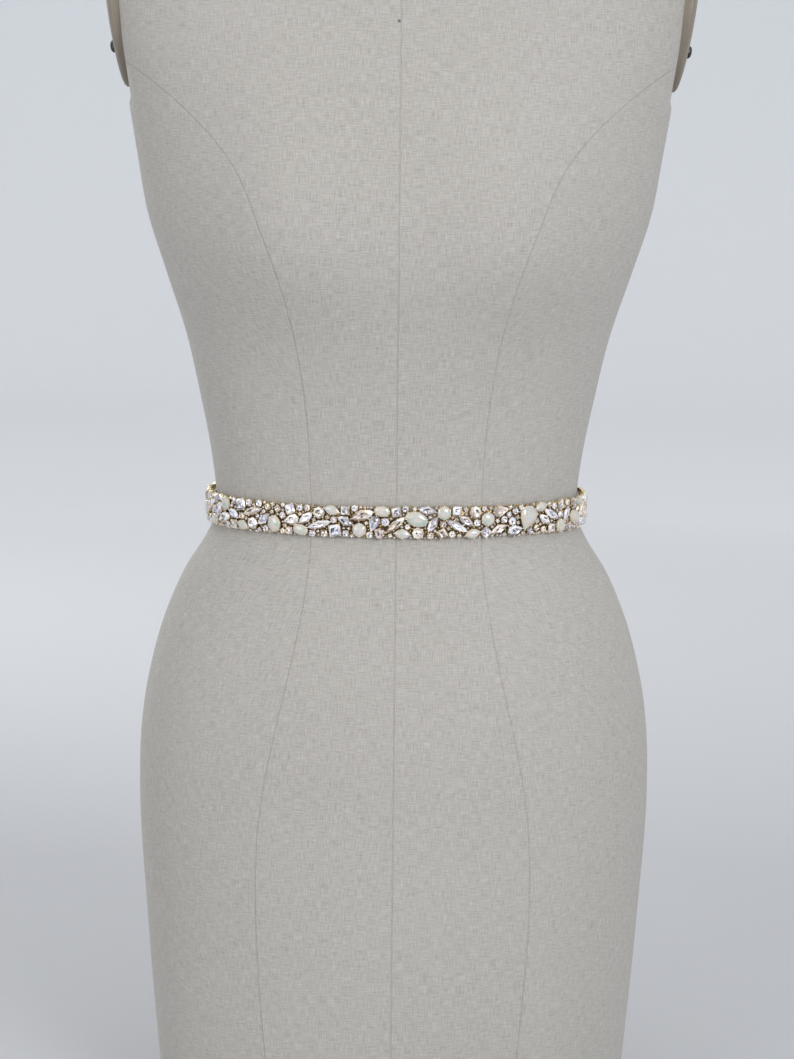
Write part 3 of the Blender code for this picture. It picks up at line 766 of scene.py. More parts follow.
def gold_material(looks):
    """Antique gold: dark down in the gaps, from tarnish and painted shade, and bright where it stands up,
    from rubbing and painted highlights.
    """
    made, tree, shader = new_material("Antique gold", Metallic=1.0)
    place = node(tree, "ShaderNodeTexCoord").outputs["Object"]
    spots = mottled(tree, place, 520.0, 1.8)
    raised = maths(tree, "ADD", attribute(tree, "raised"),
                   maths(tree, "MULTIPLY", maths(tree, "SUBTRACT", spots, 0.5), 0.45))
    gold, tarnish = tuple(looks.gold), tuple(looks.tarnish)
    brown = tuple(low + (high - low) * 0.30 for low, high in zip(tarnish, gold))
    pale = tuple(part + (1 - part) * 0.35 for part in gold)
    # Painted light: low values paint tarnish and shade dark, high values paint rubbed and lit metal bright,
    # and the top end, paled toward white, is a painted highlight.
    tree.links.new(ramp(tree, raised, ((0.05, tarnish), (0.42, brown), (0.72, gold), (1.0, pale))),
                   shader.inputs["Base Color"])
    rough = maths(tree, "MULTIPLY_ADD", spots, 0.25, 0.22)
    tree.links.new(rough, shader.inputs["Roughness"])
    bumped(tree, shader, spots, 0.25, 0.08 * MM)
    return made


def crystal_material():
    """Foil-backed cut crystal: each facet is painted its own bit of reflected light or shade, and the
    brightest facets glow as a painted sparkle.
    """
    made, tree, shader = new_material("Cut crystal", Metallic=0.25, Roughness=0.07, IOR=1.6,
                                      Coat_Weight=0.35, Coat_Roughness=0.02)
    tone = attribute(tree, "facet")
    # Painted reflections: each facet's tone, from dark to bright, is light and shade painted into its colour.
    grey = ramp(tree, tone, (
        (0.00, (0.030, 0.022, 0.018)),
        (0.20, (0.14, 0.11, 0.09)),
        (0.38, (0.36, 0.31, 0.28)),
        (0.54, (0.50, 0.47, 0.48)),
        (0.70, (0.64, 0.62, 0.66)),
        (0.86, (0.80, 0.79, 0.82)),
        (1.00, (0.92, 0.91, 0.92)),
    ))
    tint = ramp(tree, attribute(tree, "tint"), (
        (0.00, (1.0, 0.76, 0.56)),
        (0.13, (1.0, 0.90, 0.74)),
        (0.28, (1.0, 0.99, 0.96)),
        (0.52, (0.97, 0.98, 1.0)),
        (0.66, (0.84, 0.84, 1.0)),
        (0.78, (0.80, 0.93, 1.0)),
        (0.89, (1.0, 0.82, 0.90)),
        (1.00, (0.86, 0.99, 0.90)),
    ))
    colour = node(tree, "ShaderNodeMix", [(0, 1.0)], data_type="RGBA", blend_type="MULTIPLY")
    tree.links.new(grey, colour.inputs[6])
    tree.links.new(tint, colour.inputs[7])
    tree.links.new(colour.outputs[2], shader.inputs["Base Color"])
    # A painted glow: the brightest facets give off light of their own, as painted sparkle.
    painted_glow = ramp(tree, tone, ((0.80, (0.0, 0.0, 0.0)), (1.0, (0.12, 0.12, 0.12))))
    tree.links.new(painted_glow, shader.inputs["Emission Color"])
    shader.inputs["Emission Strength"].default_value = 1.0
    return made


def opal_material(looks):
    """Milky opal: cloudy green, rose and blue in a pale body under a wet gloss, painted darker toward its
    foot as shade and with pale spots of painted glint.
    """
    made, tree, shader = new_material("Milky opal", Roughness=0.16, IOR=1.52, Coat_Weight=0.6,
                                      Coat_Roughness=0.04)
    place = node(tree, "ShaderNodeTexCoord").outputs["Object"]
    clouds = mottled(tree, place, 250.0, 3.6)
    painted_glints = mottled(tree, place, 900.0, 3.4)
    chips = node(tree, "ShaderNodeTexVoronoi", [("Vector", place), ("Scale", 430.0)]).outputs["Color"]
    play = maths(tree, "ADD", maths(tree, "MULTIPLY", clouds, 0.56),
                 maths(tree, "MULTIPLY", chips, 0.30))
    play = maths(tree, "ADD", play, maths(tree, "MULTIPLY", attribute(tree, "tint"), 0.20))
    milk = tuple(looks.milk)
    body = ramp(tree, play, (
        (0.20, (0.31, 0.45, 0.43)),
        (0.38, milk),
        (0.52, (0.52, 0.515, 0.465)),
        (0.64, (0.66, 0.49, 0.43)),
        (0.74, (0.56, 0.53, 0.48)),
        (0.88, (0.37, 0.47, 0.64)),
    ))
    edge = attribute(tree, "edge")
    # Painted shade: the colour darkens toward the dome's foot.
    edge_shaded = mixed(tree, maths(tree, "MULTIPLY", edge, 0.6), body, (0.36, 0.34, 0.25))
    # Painted highlights: pale spots scattered over the body.
    lit = mixed(tree, maths(tree, "MULTIPLY", painted_glints, 0.34), edge_shaded, (0.72, 0.72, 0.67))
    tree.links.new(lit, shader.inputs["Base Color"])
    shader.inputs["Subsurface Weight"].default_value = 0.25
    shader.inputs["Subsurface Radius"].default_value = (1.0, 1.0, 0.8)
    shader.inputs["Subsurface Scale"].default_value = 1.5 * MM
    return made


def backdrop_material(looks):
    """Matt pale wall and floor with the faintest unevenness."""
    made, tree, shader = new_material("Backdrop", Roughness=0.92, Specular_IOR_Level=0.1)
    place = node(tree, "ShaderNodeTexCoord").outputs["Object"]
    uneven = mottled(tree, place, 0.7, 0.8)
    level = node(tree, "ShaderNodeVectorMath", [(0, place), (1, (1.0, 1.0, 0.0))], operation="MULTIPLY")
    radius = node(tree, "ShaderNodeVectorMath", [(0, level.outputs[0])], operation="LENGTH").outputs["Value"]
    share = maths(tree, "DIVIDE", radius, FLOOR_RADIUS + FLOOR_CURVE)
    colour = ramp(tree, share, ((0.0, looks.floor), (0.10, looks.floor), (0.45, looks.far_floor),
                                (0.75, looks.far_floor), (1.0, looks.wall)))
    darker = mixed(tree, 0.03, colour, (0.0, 0.0, 0.0))
    tree.links.new(mixed(tree, uneven, darker, colour), shader.inputs["Base Color"])
    return made


class Band:
    """The trim's path: a level line round the waist, clear of the ribbon's wider edges."""

    def __init__(self):
        self.inner = RIBBON_GAP + RIBBON_THICK + SEAM_GAP
        self.edge = WAIST_HEIGHT - RIBBON_WIDTH / 2
        self.angles = np.linspace(-1.5 * math.pi, 0.5 * math.pi, BAND_SAMPLES)
        points = form_ring(self.edge, self.angles, self.inner)
        steps = np.hypot(*np.diff(points[:, :2], axis=0).T)
        along = np.concatenate(([0.0], np.cumsum(steps)))
        self.along = along - along[len(along) // 2]

    def frame(self, along):
        """Place, direction along and direction outward at a distance in mm from the front."""
        angle = np.interp(along * MM, self.along, self.angles)
        turns = np.array((angle - BAND_TURN, angle, angle + BAND_TURN))
        before, place, after = form_ring(self.edge, turns, self.inner)
        place[2] = WAIST_HEIGHT
        ahead = (after - before) / np.linalg.norm(after - before)
        return place, ahead, np.array((ahead[1], -ahead[0], 0.0))

    def placed(self, along, up, turn, local):
        """World points of a shape's own points, whose columns are along, up and out, in mm."""
        place, ahead, away = self.frame(along)
        heading = math.radians(turn)
        side = local[:, 0] * math.cos(heading) - local[:, 1] * math.sin(heading)
        lift = local[:, 0] * math.sin(heading) + local[:, 1] * math.cos(heading) + up
        points = place + np.outer(side * MM, ahead) + np.outer(local[:, 2] * MM, away)
        points[:, 2] += lift * MM
        return points


def outline(shape, length, width, sides, phase=0.0):
    """A stone's outline with its long axis along x, as an array of points."""
    turns = (np.arange(sides) + phase) * 2 * math.pi / sides
    if shape == "triangle":
        turns = turns - math.pi / 3
        reach = TRIANGLE_REACH + TRIANGLE_POINT * np.cos(3 * turns)
        return np.column_stack((np.cos(turns) * reach * length / 2, np.sin(turns) * reach * width / 2))
    if shape == "square":
        turns = turns + math.pi / sides
    x, y = np.cos(turns), np.sin(turns)
    if shape == "marquise":
        y = y * np.abs(y) ** MARQUISE_POINT
    elif shape == "pear":
        y = y * np.sqrt((1 - x) / 2) / PEAR_WIDTH
    elif shape == "square":
        x = signed_power(x, SQUARE_POWER)
        y = signed_power(y, SQUARE_POWER)
    return np.column_stack((x * length / 2, y * width / 2))


def stone_discs(shape, length, width):
    """Discs that cover a stone, for keeping stones apart: offset along it and radius."""
    if length == width:
        return [(0.0, width / 2 * DISC_SHARES[shape])]
    edge = outline(shape, length, width, 72)
    discs = []
    for share in DISC_PLACES:
        offset = share * length / 2
        discs.append((offset, float(np.hypot(edge[:, 0] - offset, edge[:, 1]).min())))
    return discs


def charted_stones():
    """Stones of three repeats, the outer two turned end for end, with the large opals."""
    stones = [list(row) for row in ACCENTS]
    for copy, flip in ((-1, -1), (0, 1), (1, -1)):
        for kind, along, up, turn in CHART:
            place = copy * REPEAT + flip * along
            close = any(abs(place - row[1]) < STONES[row[0]][2] / 2 + 2.0 for row in ACCENTS)
            if not close:
                stones.append([kind, place, flip * up, turn])
    return stones


def settle(stones):
    """Nudge stones apart until each has its own place inside the trim's edges."""
    owners, offsets, radii = [], [], []
    for number, (kind, _, _, turn) in enumerate(stones):
        shape, length, width, _, _ = STONES[kind]
        for offset, radius in stone_discs(shape, length, width):
            heading = math.radians(turn)
            owners.append(number)
            offsets.append((offset * math.cos(heading), offset * math.sin(heading)))
            radii.append(radius)
    owners = np.array(owners)
    offsets = np.array(offsets)
    radii = np.array(radii)
    charted = np.array([(row[1], row[2]) for row in stones])
    places = charted.copy()
    limit = TRIM_WIDTH / 2
    counts = np.bincount(owners)
    for _ in range(SETTLE_ROUNDS):
        discs = places[owners] + offsets
        apart = discs[:, None, :] - discs[None, :, :]
        distance = np.hypot(apart[..., 0], apart[..., 1]) + 1e-9
        overlap = radii[:, None] + radii[None, :] + STONE_SPACE - distance
        overlap[owners[:, None] == owners[None, :]] = 0.0
        push = (apart / distance[..., None] * np.maximum(overlap, 0.0)[..., None]).sum(axis=1) / 2
        over = np.maximum(np.abs(discs[:, 1]) + radii - limit, 0.0)
        push[:, 1] -= np.sign(discs[:, 1]) * over
        moved = np.zeros_like(places)
        np.add.at(moved, owners, push)
        places += moved / np.sqrt(counts)[:, None] * SETTLE_PUSH
        places += (charted - places) * SETTLE_PULL
    fixed = np.array([row[0].startswith("opal") for row in stones])
    grown = grow(places, owners, offsets, radii, fixed)
    settled = [[row[0], place[0], place[1], row[3], size] for row, place, size in zip(stones, places, grown)]
    return settled, owners, places, offsets, radii, grown


def grow(places, owners, offsets, radii, fixed):
    """How much larger each crystal is made, so that it nearly touches its neighbours."""
    grown = np.ones(len(places))
    for _ in range(round((GROWTH_MOST - 1) / GROWTH_STEP)):
        wider = grown[owners] + GROWTH_STEP
        discs = places[owners] + offsets * wider[:, None]
        apart = discs[:, None, :] - discs[None, :, :]
        reach = radii * wider
        room = np.hypot(apart[..., 0], apart[..., 1]) - reach[:, None] - (radii * grown[owners])[None, :]
        room[owners[:, None] == owners[None, :]] = 1.0
        inside = np.abs(discs[:, 1]) + reach < TRIM_WIDTH / 2 + EDGE_SPILL
        free = (room.min(axis=1) > GROWTH_SPACE) & inside
        stuck = fixed.copy()
        np.logical_or.at(stuck, owners, ~free)
        grown[~stuck] += GROWTH_STEP
    return grown


def holes_filled(discs, radii, sizes, space):
    """Round shapes for the holes that are left, the widest hole first."""
    half = REPEAT * 1.5
    limit = TRIM_WIDTH / 2
    along, up = np.meshgrid(np.arange(-half, half, SEARCH_STEP), np.arange(-limit, limit, SEARCH_STEP),
                            indexing="ij")
    room = np.minimum(limit - np.abs(up), half - np.abs(along))
    for (x, y), radius in zip(discs, radii):
        room = np.minimum(room, np.hypot(along - x, up - y) - radius)
    found = []
    while True:
        best = np.unravel_index(np.argmax(room), room.shape)
        fitting = [size for size in sizes if size / 2 + space <= room[best]]
        if not fitting:
            return found
        found.append((fitting[0], float(along[best]), float(up[best])))
        gone = np.hypot(along - along[best], up - up[best]) - fitting[0] / 2
        room = np.minimum(room, gone)


@lru_cache(maxsize=None)
def trim_layout():
    """Every stone of the trim, then the metal grains between them.

    A stone is its kind, outline, length, width, rise, prong turns, place along, place up and turn.
    A grain is its size, place along and place up.
    """
    settled, owners, places, offsets, radii, grown = settle(charted_stones())
    small = holes_filled(places[owners] + offsets, radii, SMALL_STONES, STONE_SPACE)
    stones = []
    for kind, along, up, turn, size in settled:
        shape, length, width, rise, turns = STONES[kind]
        stones.append((kind, shape, length * size, width * size, rise, turns, along, up, turn))
    discs = np.concatenate((places[owners] + offsets * grown[owners][:, None],
                            [(along, up) for _, along, up in small]))
    radii = np.concatenate((radii * grown[owners], [size / 2 for size, _, _ in small]))
    tiny = holes_filled(discs, radii, TINY_STONES, TINY_SPACE)
    for size, along, up in small + tiny:
        rise = SMALL_RISE * min(1.0, 0.4 + size / 6)
        turns = (45, 135, 225, 315) if size > TINY_PRONGED else ()
        stones.append(("small", "round", size, size, rise, turns, along, up, 30))
    discs = np.concatenate((discs, [(along, up) for _, along, up in tiny]))
    radii = np.concatenate((radii, [size / 2 for size, _, _ in tiny]))
    return stones, holes_filled(discs, radii, GRAINS, TINY_SPACE)


def girdle(rise):
    """Height of a stone's widest line above the trim's inner face, in mm."""
    return BACKING_THICK + rise * 0.5


def cup(shape, length, width, rise, wall, sides=28):
    """A stone's cup: a thin wall round it, its rim rounded. Points, faces and each point's wear and light:
    painted darker down the cup, where shade falls, and brighter up at its rim.
    """
    top = girdle(rise) + 0.10
    profile = ((0.0, BACKING_THICK - STONE_SINK), (0.0, top - 0.12), (0.05, top), (wall * 0.6, top + 0.05),
               (wall, top - 0.08), (wall, girdle(rise) - 0.45))
    rings = []
    heights = []
    for inset, out in profile:
        edge = outline(shape, length - 2 * inset, width - 2 * inset, sides)
        rings.append(np.column_stack((edge, np.full(sides, out))))
        heights.append(np.full(sides, (out - BACKING_THICK) / (top - BACKING_THICK)))
    points, faces = lofted(rings, cyclic=True)
    return points, faces, np.clip(np.concatenate(heights), 0.0, 1.0) * 0.75 + 0.05


def prong(shape, length, width, rise, turn, radius, sides=7):
    """A prong that rises beside the stone and bends over its edge to a round tip."""
    fine = outline(shape, length, width, 72)
    spot = fine[round(turn / 5 - (0.5 if shape == "square" else 0.0)) % 72]
    inward = -spot / np.hypot(*spot)
    level = girdle(rise)
    bend = min(1.0, length / 6)
    path = ((-0.10, BACKING_THICK - 0.3, 0.85), (-0.14, level - 0.2, 0.9), (-0.06, level + 0.28, 1.0),
            (0.28 * bend, level + 0.55, 1.1), (0.66 * bend, level + 0.62, 1.05),
            (0.90 * bend, level + 0.58, 0.6))
    centres = np.array([(*(spot + inward * step), out) for step, out, _ in path])
    across = np.array((-inward[1], inward[0], 0.0))
    rings = []
    for number, (_, _, share) in enumerate(path):
        ahead = centres[min(number + 1, len(path) - 1)] - centres[max(number - 1, 0)]
        third = np.cross(ahead / np.linalg.norm(ahead), across)
        turns = even_turns(sides)
        rings.append(centres[number] + radius * share
                     * (np.outer(np.cos(turns), across) + np.outer(np.sin(turns), third)))
    points, faces = lofted(rings)
    # Painted shade at the prong's foot, rising to rubbed wear and a painted highlight over its bent tip.
    raised = np.repeat((0.05, 0.45, 0.8, 1.0, 1.0, 1.0), sides)
    return points, faces, raised


def cut_stone(shape, length, width, rise, sides, dice):
    """A faceted stone: rings of facets from girdle to table, and a star seen through the table.

    Each facet has its own points, so each can carry its own painted light or shade: the crown painted lighter
    on one side and the star darker there, with wedges and a few dark spots of painted reflection.
    """
    base, top = girdle(rise) - 0.5, BACKING_THICK + rise + 0.05
    level = girdle(rise)
    lean = (dice.uniform(-0.05, 0.05), dice.uniform(-0.05, 0.05))
    rings = ((1.0, level, 0.0), (0.80, level + (top - level) * 0.62, 0.5), (0.56, top, 0.0),
             (0.30, top - 0.16, 0.5))
    loops = []
    for share, out, phase in rings:
        edge = outline(shape, length * share, width * share, sides, phase)
        tilt = edge[:, 0] * lean[0] + edge[:, 1] * lean[1]
        loops.append(np.column_stack((edge, out + tilt * (share < 1))))
    floor = np.column_stack((outline(shape, length * 0.96, width * 0.96, sides), np.full(sides, base)))
    centre = np.array((0.0, 0.0, top - 0.04))
    facets = []
    for step in range(sides):
        after, before = (step + 1) % sides, (step - 1) % sides
        facets.append(("side", (floor[step], floor[after], loops[0][after], loops[0][step])))
        facets.append(("crown", (loops[0][step], loops[0][after], loops[1][step])))
        facets.append(("crown", (loops[1][step], loops[0][after], loops[1][after])))
        facets.append(("crown", (loops[1][before], loops[1][step], loops[2][step])))
        facets.append(("crown", (loops[2][step], loops[1][step], loops[2][after])))
        facets.append(("star", (loops[2][step], loops[2][after], loops[3][step])))
        facets.append(("star", (loops[3][step], loops[2][after], loops[3][after])))
        facets.append(("heart", (loops[3][step], loops[3][after], centre)))
    facets.append(("side", tuple(floor[::-1])))
    points, faces, tones, tints = [], [], [], []
    bright_side = dice.uniform(0, 2 * math.pi)
    wedges = [0.24 * math.cos(2 * math.pi * step / sides * 2 + bright_side * 3)
              + 0.16 * (-1) ** step + 0.34 * (dice.random() - 0.5) for step in range(sides)]
    painted_brightness = dice.uniform(0.52, 0.80)
    cast = dice.random()
    for number, (kind, corners) in enumerate(facets):
        faces.append(tuple(range(len(points), len(points) + len(corners))))
        points += list(corners)
        middle = np.mean(corners, axis=0)
        lit = math.cos(math.atan2(middle[1], middle[0]) - bright_side)
        step = number // 8
        # Painted light: sides in even shade, crown lit toward the bright side, star and heart darker there,
        # with random dark spots of painted reflected shade.
        if kind == "side":
            tone = 0.28
        elif kind == "crown":
            tone = painted_brightness + 0.10 + 0.30 * lit + 0.40 * (dice.random() - 0.5)
        else:
            tone = painted_brightness - 0.26 * lit + wedges[step] + 0.12 * (dice.random() - 0.5)
            tone -= 0.45 if dice.random() < 0.14 else 0.0
        tones += [min(max(tone, 0.0), 1.0)] * len(corners)
        tints += [(cast + 0.34 * (dice.random() - 0.5)) % 1.0] * len(corners)
    return np.array(points), faces, np.array(tones), np.array(tints)


def dome(shape, length, width, rise, sides=36, rows=9):
    """A smooth domed stone, and how near each point is to its edge."""
    level, top = girdle(rise), BACKING_THICK + rise + 0.1
    foot = outline(shape, length * 0.97, width * 0.97, sides)
    rings = [np.column_stack((foot, np.full(sides, level - 0.5)))]
    edges = [np.ones(sides)]
    for row in range(rows):
        lift = row / (rows - 1) * math.radians(86)
        share = math.cos(lift)
        edge = outline(shape, length * share, width * share, sides)
        rings.append(np.column_stack((edge, np.full(sides, level + (top - level) * math.sin(lift)))))
        edges.append(np.full(sides, share ** 3))
    points, faces = lofted(rings)
    return points, faces, np.concatenate(edges)


def swept_wall(angles, heights, inner, outer):
    """Sections of a closed wall round the form, for inner and outer offsets by angle and height."""
    rows = [form_ring(height, angles, 0.0) for height in heights]
    away = []
    for height in heights:
        step = form_ring(height, angles, 1 * MM) - form_ring(height, angles, 0.0)
        away.append(step / np.linalg.norm(step, axis=1, keepdims=True))
    sections = []
    for number in range(len(angles)):
        inside = [rows[row][number] + away[row][number] * inner[row][number] for row in range(len(heights))]
        outside = [rows[row][number] + away[row][number] * outer[row][number] for row in range(len(heights))]
        sections.append(np.array(inside + outside[::-1]))
    return sections


class SASH_OT_stage(bpy.types.Operator):
    """Set up the camera, the lights and a plain pale floor that curves up into a wall"""

    bl_idname = "sash.stage"
    bl_label = "Stage"

    def execute(self, context):
        looks = context.scene.sash_stage
        context.scene.view_settings.view_transform = "Standard"
        self.add_bowl(looks)
        self.add_world(context)
        self.add_light(context, "key_light", (1.8, -2.9, 1.3), 1.6, looks.key, (0.99, 0.995, 1.0))
        self.add_light(context, "fill_light", (-2.3, -2.4, 1.0), 1.8, looks.fill, (1.0, 0.985, 0.96))
        self.add_light(context, "back_light", (-1.5, 2.9, 1.9), 1.8, looks.fill * 1.5, (1.0, 1.0, 1.0))
        self.add_camera(context, looks)
        return {"FINISHED"}

    def add_bowl(self, looks):
        """A round floor whose edge curves up, so that every view has the same ground."""
        profile = [(radius, 0.0) for radius in (0.05, 1.0, 2.5, FLOOR_RADIUS)]
        for step in range(1, 13):
            turn = math.pi / 2 * step / 12
            profile.append((FLOOR_RADIUS + FLOOR_CURVE * math.sin(turn),
                            FLOOR_CURVE - FLOOR_CURVE * math.cos(turn)))
        profile.append((FLOOR_RADIUS + FLOOR_CURVE, WALL_HEIGHT))
        turns = even_turns(96)
        rings = [np.column_stack((radius * np.cos(turns), radius * np.sin(turns), np.full(96, height)))
                 for radius, height in profile]
        points, faces = lofted(rings)
        bowl = single("studio_floor", backdrop_material(looks), points, faces[:-1], 60)
        bowl.visible_shadow = False

    def add_world(self, context):
        """An even pale surround."""
        world = bpy.data.worlds.new("Studio")
        context.scene.world = world
        world.use_nodes = True
        background = world.node_tree.nodes["Background"]
        background.inputs["Color"].default_value = (0.985, 0.99, 1.0, 1.0)
        background.inputs["Strength"].default_value = 0.85

    def add_light(self, context, name, place, size, power, colour):
        """A soft light aimed at the waist."""
        data = bpy.data.lights.new(name, "AREA")
        data.shape = "DISK"
        data.size = size
        data.energy = power
        data.color = colour
        data.spread = math.radians(80)
        light = bpy.data.objects.new(name, data)
        light.location = place
        aim = Vector((0.0, 0.0, WAIST_HEIGHT)) - Vector(place)
        light.rotation_euler = aim.to_track_quat("-Z", "Y").to_euler()
        light.visible_camera = False
        context.scene.collection.objects.link(light)

    def add_camera(self, context, looks):
        """The photograph's view: level with the ribs, looking a little down at the waist."""
        data = bpy.data.cameras.new("photo_camera")
        data.sensor_width = 36.0
        data.lens = looks.lens
        camera = bpy.data.objects.new("photo_camera", data)
        aim = Vector((AIM_RIGHT, 0.0, WAIST_HEIGHT - AIM_BELOW))
        back = Vector((0.0, -math.cos(looks.tilt), math.sin(looks.tilt)))
        camera.location = aim + back * looks.distance
        level = (-back).to_track_quat("-Z", "Y")
        camera.rotation_euler = (level @ Quaternion((0.0, 0.0, 1.0), looks.roll)).to_euler()
        context.scene.collection.objects.link(camera)
        context.scene.camera = camera


class SASH_OT_form(bpy.types.Operator):
    """Build the dress form's linen-covered torso and neck"""

    bl_idname = "sash.form"
    bl_label = "Dress form"

    def execute(self, context):
        looks = context.scene.sash_form
        angles = turn_angles(FORM_SIDES)
        rises = [0.0, 0.0012, 0.0026, HEM_ROUNDING]
        insets = [HEM_ROUNDING / 2, 0.0009, 0.0002, 0.0]
        count = round((FORM_BOX[1].z - HEM_ROUNDING) / FORM_SPACING)
        for step in range(1, count + 1):
            rises.append(HEM_ROUNDING + (FORM_BOX[1].z - HEM_ROUNDING) * step / count)
            insets.append(0.0)
        rings, around, distances = [], [], []
        front, back = (smooth_curve(PRINCESS_SEAM, column, rises) for column in (1, 2))
        front_slant, back_slant = (np.hypot(1.0, np.gradient(seam, rises)) for seam in (front, back))
        for number, (height, inset) in enumerate(zip(rises, insets)):
            ring = form_ring(height, angles, 0.0, inset)
            middle = form_level(height)[2]
            steps = np.hypot(*np.diff(np.vstack((ring, ring[:1]))[:, :2], axis=0).T)
            ahead = ring[:, 1] < middle
            seam = np.where(ahead, front[number], back[number])
            slant = np.where(ahead, front_slant[number], back_slant[number])
            rings.append(ring)
            around.append(np.concatenate(([0.0], np.cumsum(steps))))
            distances.append(np.column_stack((ring[:, 0], (np.abs(ring[:, 0]) - seam) / slant,
                                              ring[:, 1] - middle, ring[:, 2] - NECK_SEAM)))
        points, faces = lofted(rings)
        centre, princess, side, neck = np.concatenate(distances).T
        stock = Stock()
        stock.add(points, faces, centre=centre, princess=princess, side=side, neck=neck)
        cover = stock.piece("form_cover", linen_material(looks), smooth_angle=50)
        self.lay_panels(cover.data, np.array(around), princess)
        settle_piece(cover, "linen", "dress_form")
        return {"FINISHED"}

    def lay_panels(self, mesh, around, princess):
        """Map the linen as cut panels: front and back between the princess seams, and two sides.

        Each panel's threads run level and upright from its own middle line.
        """
        sides = FORM_SIDES
        corners = np.empty(len(mesh.loops), dtype=np.int32)
        mesh.loops.foreach_get("vertex_index", corners)
        starts = np.empty(len(mesh.polygons), dtype=np.int32)
        counts = np.empty(len(mesh.polygons), dtype=np.int32)
        mesh.polygons.foreach_get("loop_start", starts)
        mesh.polygons.foreach_get("loop_total", counts)
        first = np.repeat(corners[starts], counts)
        row, column = corners // sides, corners % sides
        quarter = sides // 4
        upright = princess[first] < 0
        side_panel = np.where(first % sides < 2 * quarter, 1, 3)
        end_panel = np.where((first % sides > quarter) & (first % sides < 3 * quarter), 2, 0)
        middle = np.where(upright, end_panel, side_panel) * quarter
        total = around[row, sides]
        across = around[row, column] - around[row, middle]
        across -= np.round(across / total) * total
        points = np.empty(len(mesh.vertices) * 3, dtype=np.float32)
        mesh.vertices.foreach_get("co", points)
        layer = mesh.uv_layers.new(name="cloth")
        flat = np.column_stack((across + middle / quarter * 0.7, points[2::3][corners]))
        layer.data.foreach_set("uv", flat.astype(np.float32).ravel())


class SASH_OT_plates(bpy.types.Operator):
    """Build the domed plates on the armholes, their screws, and the neck cap"""

    bl_idname = "sash.plates"
    bl_label = "Plates and cap"

    def execute(self, context):
        paint = paint_material(context.scene.sash_form)
        steel = screw_material()
        turns = even_turns(72)
        for name, side in (("arm_plate_left", -1), ("arm_plate_right", 1)):
            rings = []
            for share, rise in PLATE_PROFILE:
                y = PLATE_BACK + PLATE_HALF_DEPTH * share * np.cos(turns)
                z = PLATE_HEIGHT + PLATE_HALF_HEIGHT * share * np.sin(turns)
                x = side * (armhole_side(z) + SEAM_GAP + rise * MM)
                rings.append(np.column_stack((x, y, z)))
            skirt = rings[0].copy()
            skirt[:, 0] = [side * (form_side(y, z) - 0.4 * MM) for _, y, z in skirt]
            rings.insert(0, skirt)
            settle_piece(single(name + "_cover", paint, *lofted(rings), 40), "plate", name)
            settle_piece(self.screw(name + "_screw", side, steel), "plate")
        rings = []
        for radius, height in CAP_PROFILE:
            rings.append(np.column_stack((
                radius * MM * np.cos(turns),
                CAP_CENTRE_Y + radius * MM * np.sin(turns),
                np.full(len(turns), FORM_LEVELS[-1][0] + SEAM_GAP + height * MM),
            )))
        settle_piece(single("neck_cap_cover", paint, *lofted(rings), 40), "plate", "neck_cap")
        return {"FINISHED"}

    def screw(self, name, side, steel):
        """A domed screw head with a slot, on the plate's lower half."""
        profile = ((1.0, -0.6), (1.0, 0.25), (0.92, 0.55), (0.72, 0.85), (0.40, 1.0), (0.08, 1.03))
        turns = even_turns(24)
        rings = []
        for share, rise in profile:
            y = PLATE_BACK - SCREW_FORWARD + SCREW_RADIUS * MM * share * np.cos(turns)
            z = SCREW_HEIGHT + SCREW_RADIUS * MM * share * np.sin(turns)
            slot = np.where(np.abs(np.cos(turns) * share) < 0.16, 0.45, 0.0) * (rise > 0.5)
            out = (SCREW_SEAT + (rise - slot) * SCREW_RISE) * MM
            rings.append(np.column_stack((side * (armhole_side(z) + out), y, z)))
        return single(name, steel, *lofted(rings), 35)


class SASH_OT_ribbon(bpy.types.Operator):
    """Build the satin ribbon round the waist, with its selvedges and faint puckers"""

    bl_idname = "sash.ribbon"
    bl_label = "Ribbon"

    def execute(self, context):
        looks = context.scene.sash_ribbon
        sides, rows = 420, 11
        angles = turn_angles(sides)
        shares = np.linspace(-1.0, 1.0, rows)
        away_from_knot = np.minimum(np.arange(sides), sides - np.arange(sides)) / sides
        gather = np.exp(-((away_from_knot / 0.030) ** 2))
        pinch = 1 - RIBBON_PINCH * gather
        phase = np.arange(sides) / sides * 2 * math.pi
        heights = WAIST_HEIGHT + shares * RIBBON_WIDTH / 2
        inner, outer = [], []
        for share in shares:
            ripple = np.sin(phase * 23 + share * 1.7) * np.sin(phase * 9 + 1.1)
            pleat = (1 + np.cos(share * math.pi * 2.6)) * gather * RIBBON_PLEAT
            middle = RIBBON_MIDDLE + looks.pucker * ripple + pleat
            selvedge = 1.0 + 0.25 * (abs(share) > 0.9) - 0.45 * (abs(share) > 0.99)
            half = looks.thickness / 2 * selvedge
            inner.append(middle - half)
            outer.append(middle + half)
        sections = swept_wall(angles, heights, inner, outer)
        for section, share in zip(sections, pinch):
            section[:, 2] = WAIST_HEIGHT + (section[:, 2] - WAIST_HEIGHT) * share
        ribbon = single("satin_ribbon", satin_material(looks), *lofted(sections, cyclic=True), 55)
        ring = form_ring(WAIST_HEIGHT, angles, RIBBON_MIDDLE)
        steps = np.hypot(*np.diff(np.vstack((ring, ring[:1]))[:, :2], axis=0).T)
        along = np.concatenate(([0.0], np.cumsum(steps)[:-1]))
        across = np.concatenate((shares, shares[::-1])) * RIBBON_WIDTH / 2
        add_uv(ribbon, [(distance, height) for distance in along for height in across])
        settle_piece(ribbon, "ribbon", "ribbon_band")
        return {"FINISHED"}


